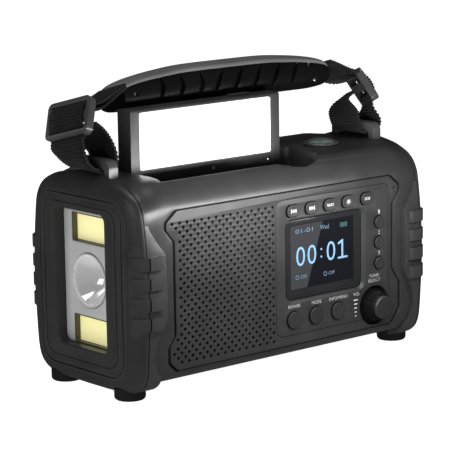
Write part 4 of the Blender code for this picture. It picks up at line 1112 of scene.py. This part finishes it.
def grip():
    stations = spline(GRIP, 6)
    body_rings, cap_rings = [], []
    for x, low, high in stations:
        body_rings.append([grip_point(x, low, high, 2 * math.pi * k / 56, -0.15) for k in range(56)])
    for x, low, high in stations[1:-1]:
        end = min((74.3 - abs(x)) / 3.0, 1.0)
        rise = 0.8 * math.sqrt(max(1 - (1 - end) ** 2, 0))
        outer = []
        for k in range(41):
            # a rounded lip stands along both edges of the cap
            lip = 0.35 * math.exp(-((min(k, 40 - k) - 2.2) / 1.5) ** 2)
            groove = 0.10 * (k % 2) if 6 < k < 34 else 0.0
            outer.append(grip_point(x, low, high, math.radians(23 + 134 * k / 40), rise + lip * end - groove))
        inner = [grip_point(x, low, high, math.radians(157 - 134 * k / 40), -1.6) for k in range(41)]
        cap_rings.append(outer + inner)
    body = loft("grip_body", body_rings)
    cap = loft("grip_cap", cap_rings)
    gills = []
    for k in range(8):
        x0 = -49 + 14.0 * k
        belly = 1 if x0 < -14 else -1
        lean = 0.15 if x0 < -14 else 0.55
        outer, inner = [], []
        for j in range(13):
            f = -1 + 2 * j / 12
            up = 34.6 + 6.6 * f
            bow = belly * 3.0 * math.cos(f * math.pi / 2)
            wide = 3.4 * math.cos(f * math.pi / 2) + 0.25
            outer.append((x0 + bow + lean * 6.6 * f, up))
            inner.append((x0 + bow - belly * wide + lean * 6.6 * f, up))
        for front, (y0, y1) in enumerate(((10.2, 30), (-30, -7.2))):
            gills.append(prism("gill", "xz", [outer + inner[::-1]], y0 + (1.8 if not front else 0), y1))
    for x, up in ((-66.5, 33.6), (60.5, 38.4), (63.5, 29.6)):
        gills.append(turned("screw_hole", [(0, -30), (1.5, -30), (1.5, -7.6), (0, -7.6)], (x, 0, up), "y", steps=24))
    cut(body, *gills)
    body.data.materials.append(M["grip"])
    cap.data.materials.append(M["grip_top"])
    finish(body, 0.3, 2, 40, 30)
    finish(cap, 0.55, 4, 50, 32)
    for piece in (body, cap):
        piece.data.transform(HANDLE_FRAME)
    ride(body, "handle", "grip")
    ride(cap, "handle")
    for k, (x, up) in enumerate(((-66.5, 33.6), (60.5, 38.4), (63.5, 29.6))):
        head = turned(f"grip_screw_{k}", [(0, -7.4), (1.35, -7.4), (1.35, -8.2), (1.0, -8.5), (0, -8.6)], (x, 0, up),
                      "y", "steel", steps=20)
        finish(head, 0, sharp=60).data.transform(HANDLE_FRAME)
        ride(head, "handle")


# ---------------------------------------------------------------- crank, antenna and the parts inside


def crank():
    arm = prism("crank_lever", "xz", [rounded([(CRANK_X - 7, CRANK_Z + 8), (CRANK_X - 7, CRANK_Z - 30),
                                               (CRANK_X - 5, CRANK_Z - 34), (CRANK_X + 5, CRANK_Z - 34),
                                               (CRANK_X + 7, CRANK_Z - 30), (CRANK_X + 7, CRANK_Z + 8)], 5, 8)],
                 37.4, 41.6)
    for z0, z1 in ((CRANK_Z - 19, CRANK_Z - 7),):
        cut(arm, prism("lever_recess", "xz", [rect(CRANK_X - 4.4, z0, CRANK_X + 4.4, z1, 2, 6)], 40.7, 50))
    cut(arm, turned("pivot_ring", [(4.6, 41.0), (5.4, 41.0), (5.4, 50), (4.6, 50), (4.6, 41.0)], (CRANK_X, 0, CRANK_Z),
                    "y", steps=56))
    join(arm, turned("pin", [(0, 41), (2, 41), (2, 52), (0, 52)], (CRANK_X, 0, CRANK_Z - 27.5), "y", steps=32))
    arm.data.materials.append(M["bumper"])
    ride(finish(arm, 0.5, 3, 40, 35), "crank", "crank_arm")
    rings = []
    for r, y in ((2.06, 41.95), (5.6, 41.95), (6.3, 42.5), (6.4, 43.5), (6.0, 47), (6.1, 51), (6.4, 53.5), (6.2, 54.7),
                 (5.3, 55.4), (3.0, 55.1)):
        ring = []
        for k in range(96):
            a = 2 * math.pi * k / 96
            deep = 0.35 if 43 < y < 54 else 0.0
            rr = r - deep * (0.5 - 0.5 * math.cos(12 * a))
            ring.append((CRANK_X + rr * math.cos(a), y, CRANK_Z - 27.5 + rr * math.sin(a)))
        rings.append(ring)
    knob = loft("crank_handle", rings)
    cut(knob, turned("pin_bore", [(0, 30), (2.06, 30), (2.06, 53), (0, 53)],
                     (CRANK_X, 0, CRANK_Z - 27.5), "y", steps=32))
    knob.data.materials.append(M["grip"])
    ride(finish(knob, 0, sharp=40), "crank_grip", "crank_knob")


def antenna():
    ax, az, y = 83.0, 104.0, 50.8
    base = turned("antenna_base", [(0, 48.6), (4.3, 48.6), (4.6, 48.9), (4.6, 52.5), (4.2, 53.0), (0, 53.0)],
                  (ax, 0, az),
                  "y", steps=56)
    tube = turned("mast", [(1.4, -66), (2.05, -66), (2.2, -65.7), (2.2, -58), (2.05, -57.7), (2.2, -57.4), (2.2, ax),
                           (0, ax), (0, 62), (1.4, 62), (1.4, -66)], (0, y, az), "x", steps=40)
    join(base, tube)
    base.data.materials.append(M["polished"])
    ride(finish(base, 0, sharp=40), "antenna", "antenna_mast")
    tip = turned("mast_end", [(0, -69.6), (1.7, -69.6), (2.2, -69.2), (2.3, -68.6), (2.3, -67.0), (2.0, -66.4),
                              (1.33, -66.3),
                              (1.33, 60), (0, 60)], (0, y, az), "x", "polished", steps=40)
    ride(finish(tip, 0, sharp=40), "antenna_end", "antenna_tip")
    screw = turned("antenna_screw", [(0, 52.9), (2.0, 52.9), (2.0, 53.4), (1.4, 53.8), (0, 53.9)], (ax, 0, az), "y",
                   "steel", steps=32)
    ride(finish(screw, 0, sharp=60), "antenna")
    clip_lo, clip_hi = -52.0, -47.0
    clip = prism("antenna_clip", "yz", [rounded([(45.6, az - 3.4), (50.2, az - 3.4), (50.2, az - 2.5), (47.6, az - 2.5),
                                                 (47.6, az + 2.5), (50.2, az + 2.5), (50.2, az + 3.4),
                                                 (45.6, az + 3.4)],
                                                0.4, 3)], clip_lo, clip_hi, "shell")
    ride(finish(clip, 0.15), "body")


INNER = {"display_module": "board", "battery_pack": "cell", "main_board": "board", "encoder": "steel",
         "encoder_shaft": "steel", "speaker_frame": "steel", "speaker_cone": "paper", "dynamo": "steel",
         "crank_gear": "nylon", "dynamo_pinion": "brass"}
M["flap"] = surface("flap_plastic", (0.022, 0.022, 0.0225), 0.42, grain=2800, relief=0.12, wear=0.15)


def lens_material():
    """Clear plastic: faintly tinted, almost fully transmitting."""
    material, tree, shader = nodes_of("clear_lens")
    shader.inputs["Base Color"].default_value = (0.75, 0.8, 0.78, 1)
    shader.inputs["Alpha"].default_value = 0.05
    shader.inputs["IOR"].default_value = 1.45
    slow = noise(tree, 80.0)
    gloss = spread(tree, slow.outputs["Fac"], 0.02, 0.06)
    tree.links.new(gloss.outputs["Result"], shader.inputs["Roughness"])
    return material


M["lens"] = lens_material()


def look_of_cad_nodes():
    for node, key in INNER.items():
        obj = bpy.data.objects[node]
        if not obj.material_slots:
            obj.data.materials.append(None)
        for slot in obj.material_slots:
            slot.link = "OBJECT"
            slot.material = M[key]


# ---------------------------------------------------------------- camera, light and floor


def camera():
    azimuth, elevation, roll = math.radians(-40.06), math.radians(10.95), math.radians(-0.889)
    target, distance = Vector((-0.0032, 0, 0.0757)), 1.236
    away = Vector((math.sin(azimuth) * math.cos(elevation), -math.cos(azimuth) * math.cos(elevation),
                   math.sin(elevation)))
    forward = -away
    right = forward.cross(Vector((0, 0, 1))).normalized()
    up = right.cross(forward)
    c, s = math.cos(roll), math.sin(roll)
    first, second = right * c + up * s, up * c - right * s
    place_at = target + away * distance
    data = bpy.data.cameras.new("camera")
    data.lens, data.sensor_width = 173.6, 36.0
    data.clip_start = 0.05
    obj = bpy.data.objects.new("camera", data)
    bpy.context.scene.collection.objects.link(obj)
    rows = [(first[i], second[i], away[i], place_at[i]) for i in range(3)]
    obj.matrix_world = Matrix((*rows, (0, 0, 0, 1)))
    bpy.context.scene.camera = obj


def area(name, at, aim, width, height, power, colour=(1, 1, 1)):
    data = bpy.data.lights.new(name, "AREA")
    data.shape = "RECTANGLE"
    data.size, data.size_y = width, height
    data.energy = power
    data.color = colour
    obj = bpy.data.objects.new(name, data)
    bpy.context.scene.collection.objects.link(obj)
    obj.location = at
    obj.rotation_euler = (Vector(aim) - Vector(at)).to_track_quat("-Z", "Y").to_euler()
    obj.visible_camera = False


def studio():
    bm = bmesh.new()
    bmesh.ops.create_grid(bm, x_segments=1, y_segments=1, size=6)
    mesh = bpy.data.meshes.new("floor")
    bm.to_mesh(mesh)
    bm.free()
    floor = place("floor", mesh)
    material, tree, shader = nodes_of("floor_paper")
    slow = noise(tree, 3.0, 2.0)
    tone = ramp(tree, slow.outputs["Fac"], (0.90, 0.90, 0.90), (0.94, 0.94, 0.94))
    tree.links.new(tone.outputs["Color"], shader.inputs["Base Color"])
    shader.inputs["Roughness"].default_value = 0.9
    shader.inputs["Emission Color"].default_value = (1, 1, 1, 1)
    floor.visible_glossy = False
    shader.inputs["Emission Strength"].default_value = 1.0
    floor.data.materials.append(material)
    world = bpy.data.worlds.new("studio")
    world.use_nodes = True
    world.node_tree.nodes["Background"].inputs["Color"].default_value = (1, 1, 1, 1)
    world.node_tree.nodes["Background"].inputs["Strength"].default_value = 0.05
    bpy.context.scene.world = world
    area("top_soft", (-0.15, -0.15, 1.25), (0, 0, 0.08), 0.8, 0.5, 7)
    area("left_soft", (-1.3, -0.25, 0.55), (0, 0, 0.07), 0.7, 0.7, 4.6)
    area("near_strip", (0.0, -0.105, 0.108), (0.01, -0.046, 0.088), 0.18, 0.02, 0.30)
    bpy.context.scene.view_settings.view_transform = "Standard"


def main():
    front_housing()
    rear_housing()
    for side, s in (("left", -1), ("right", 1)):
        end_piece(side, s, "bumper", "bumper")
        end_piece(side, s, "end_cap", "bumper")
    for name, (x, y) in zip(("left_front_foot", "left_rear_foot", "right_front_foot", "right_rear_foot"), FEET):
        foot(name, x, y)
    lamp_end()
    speaker_face()
    control_face()
    buttons()
    icons()
    display()
    knobs()
    flap()
    compass()
    straps()
    grip()
    crank()
    antenna()
    look_of_cad_nodes()
    camera()
    studio()


main()
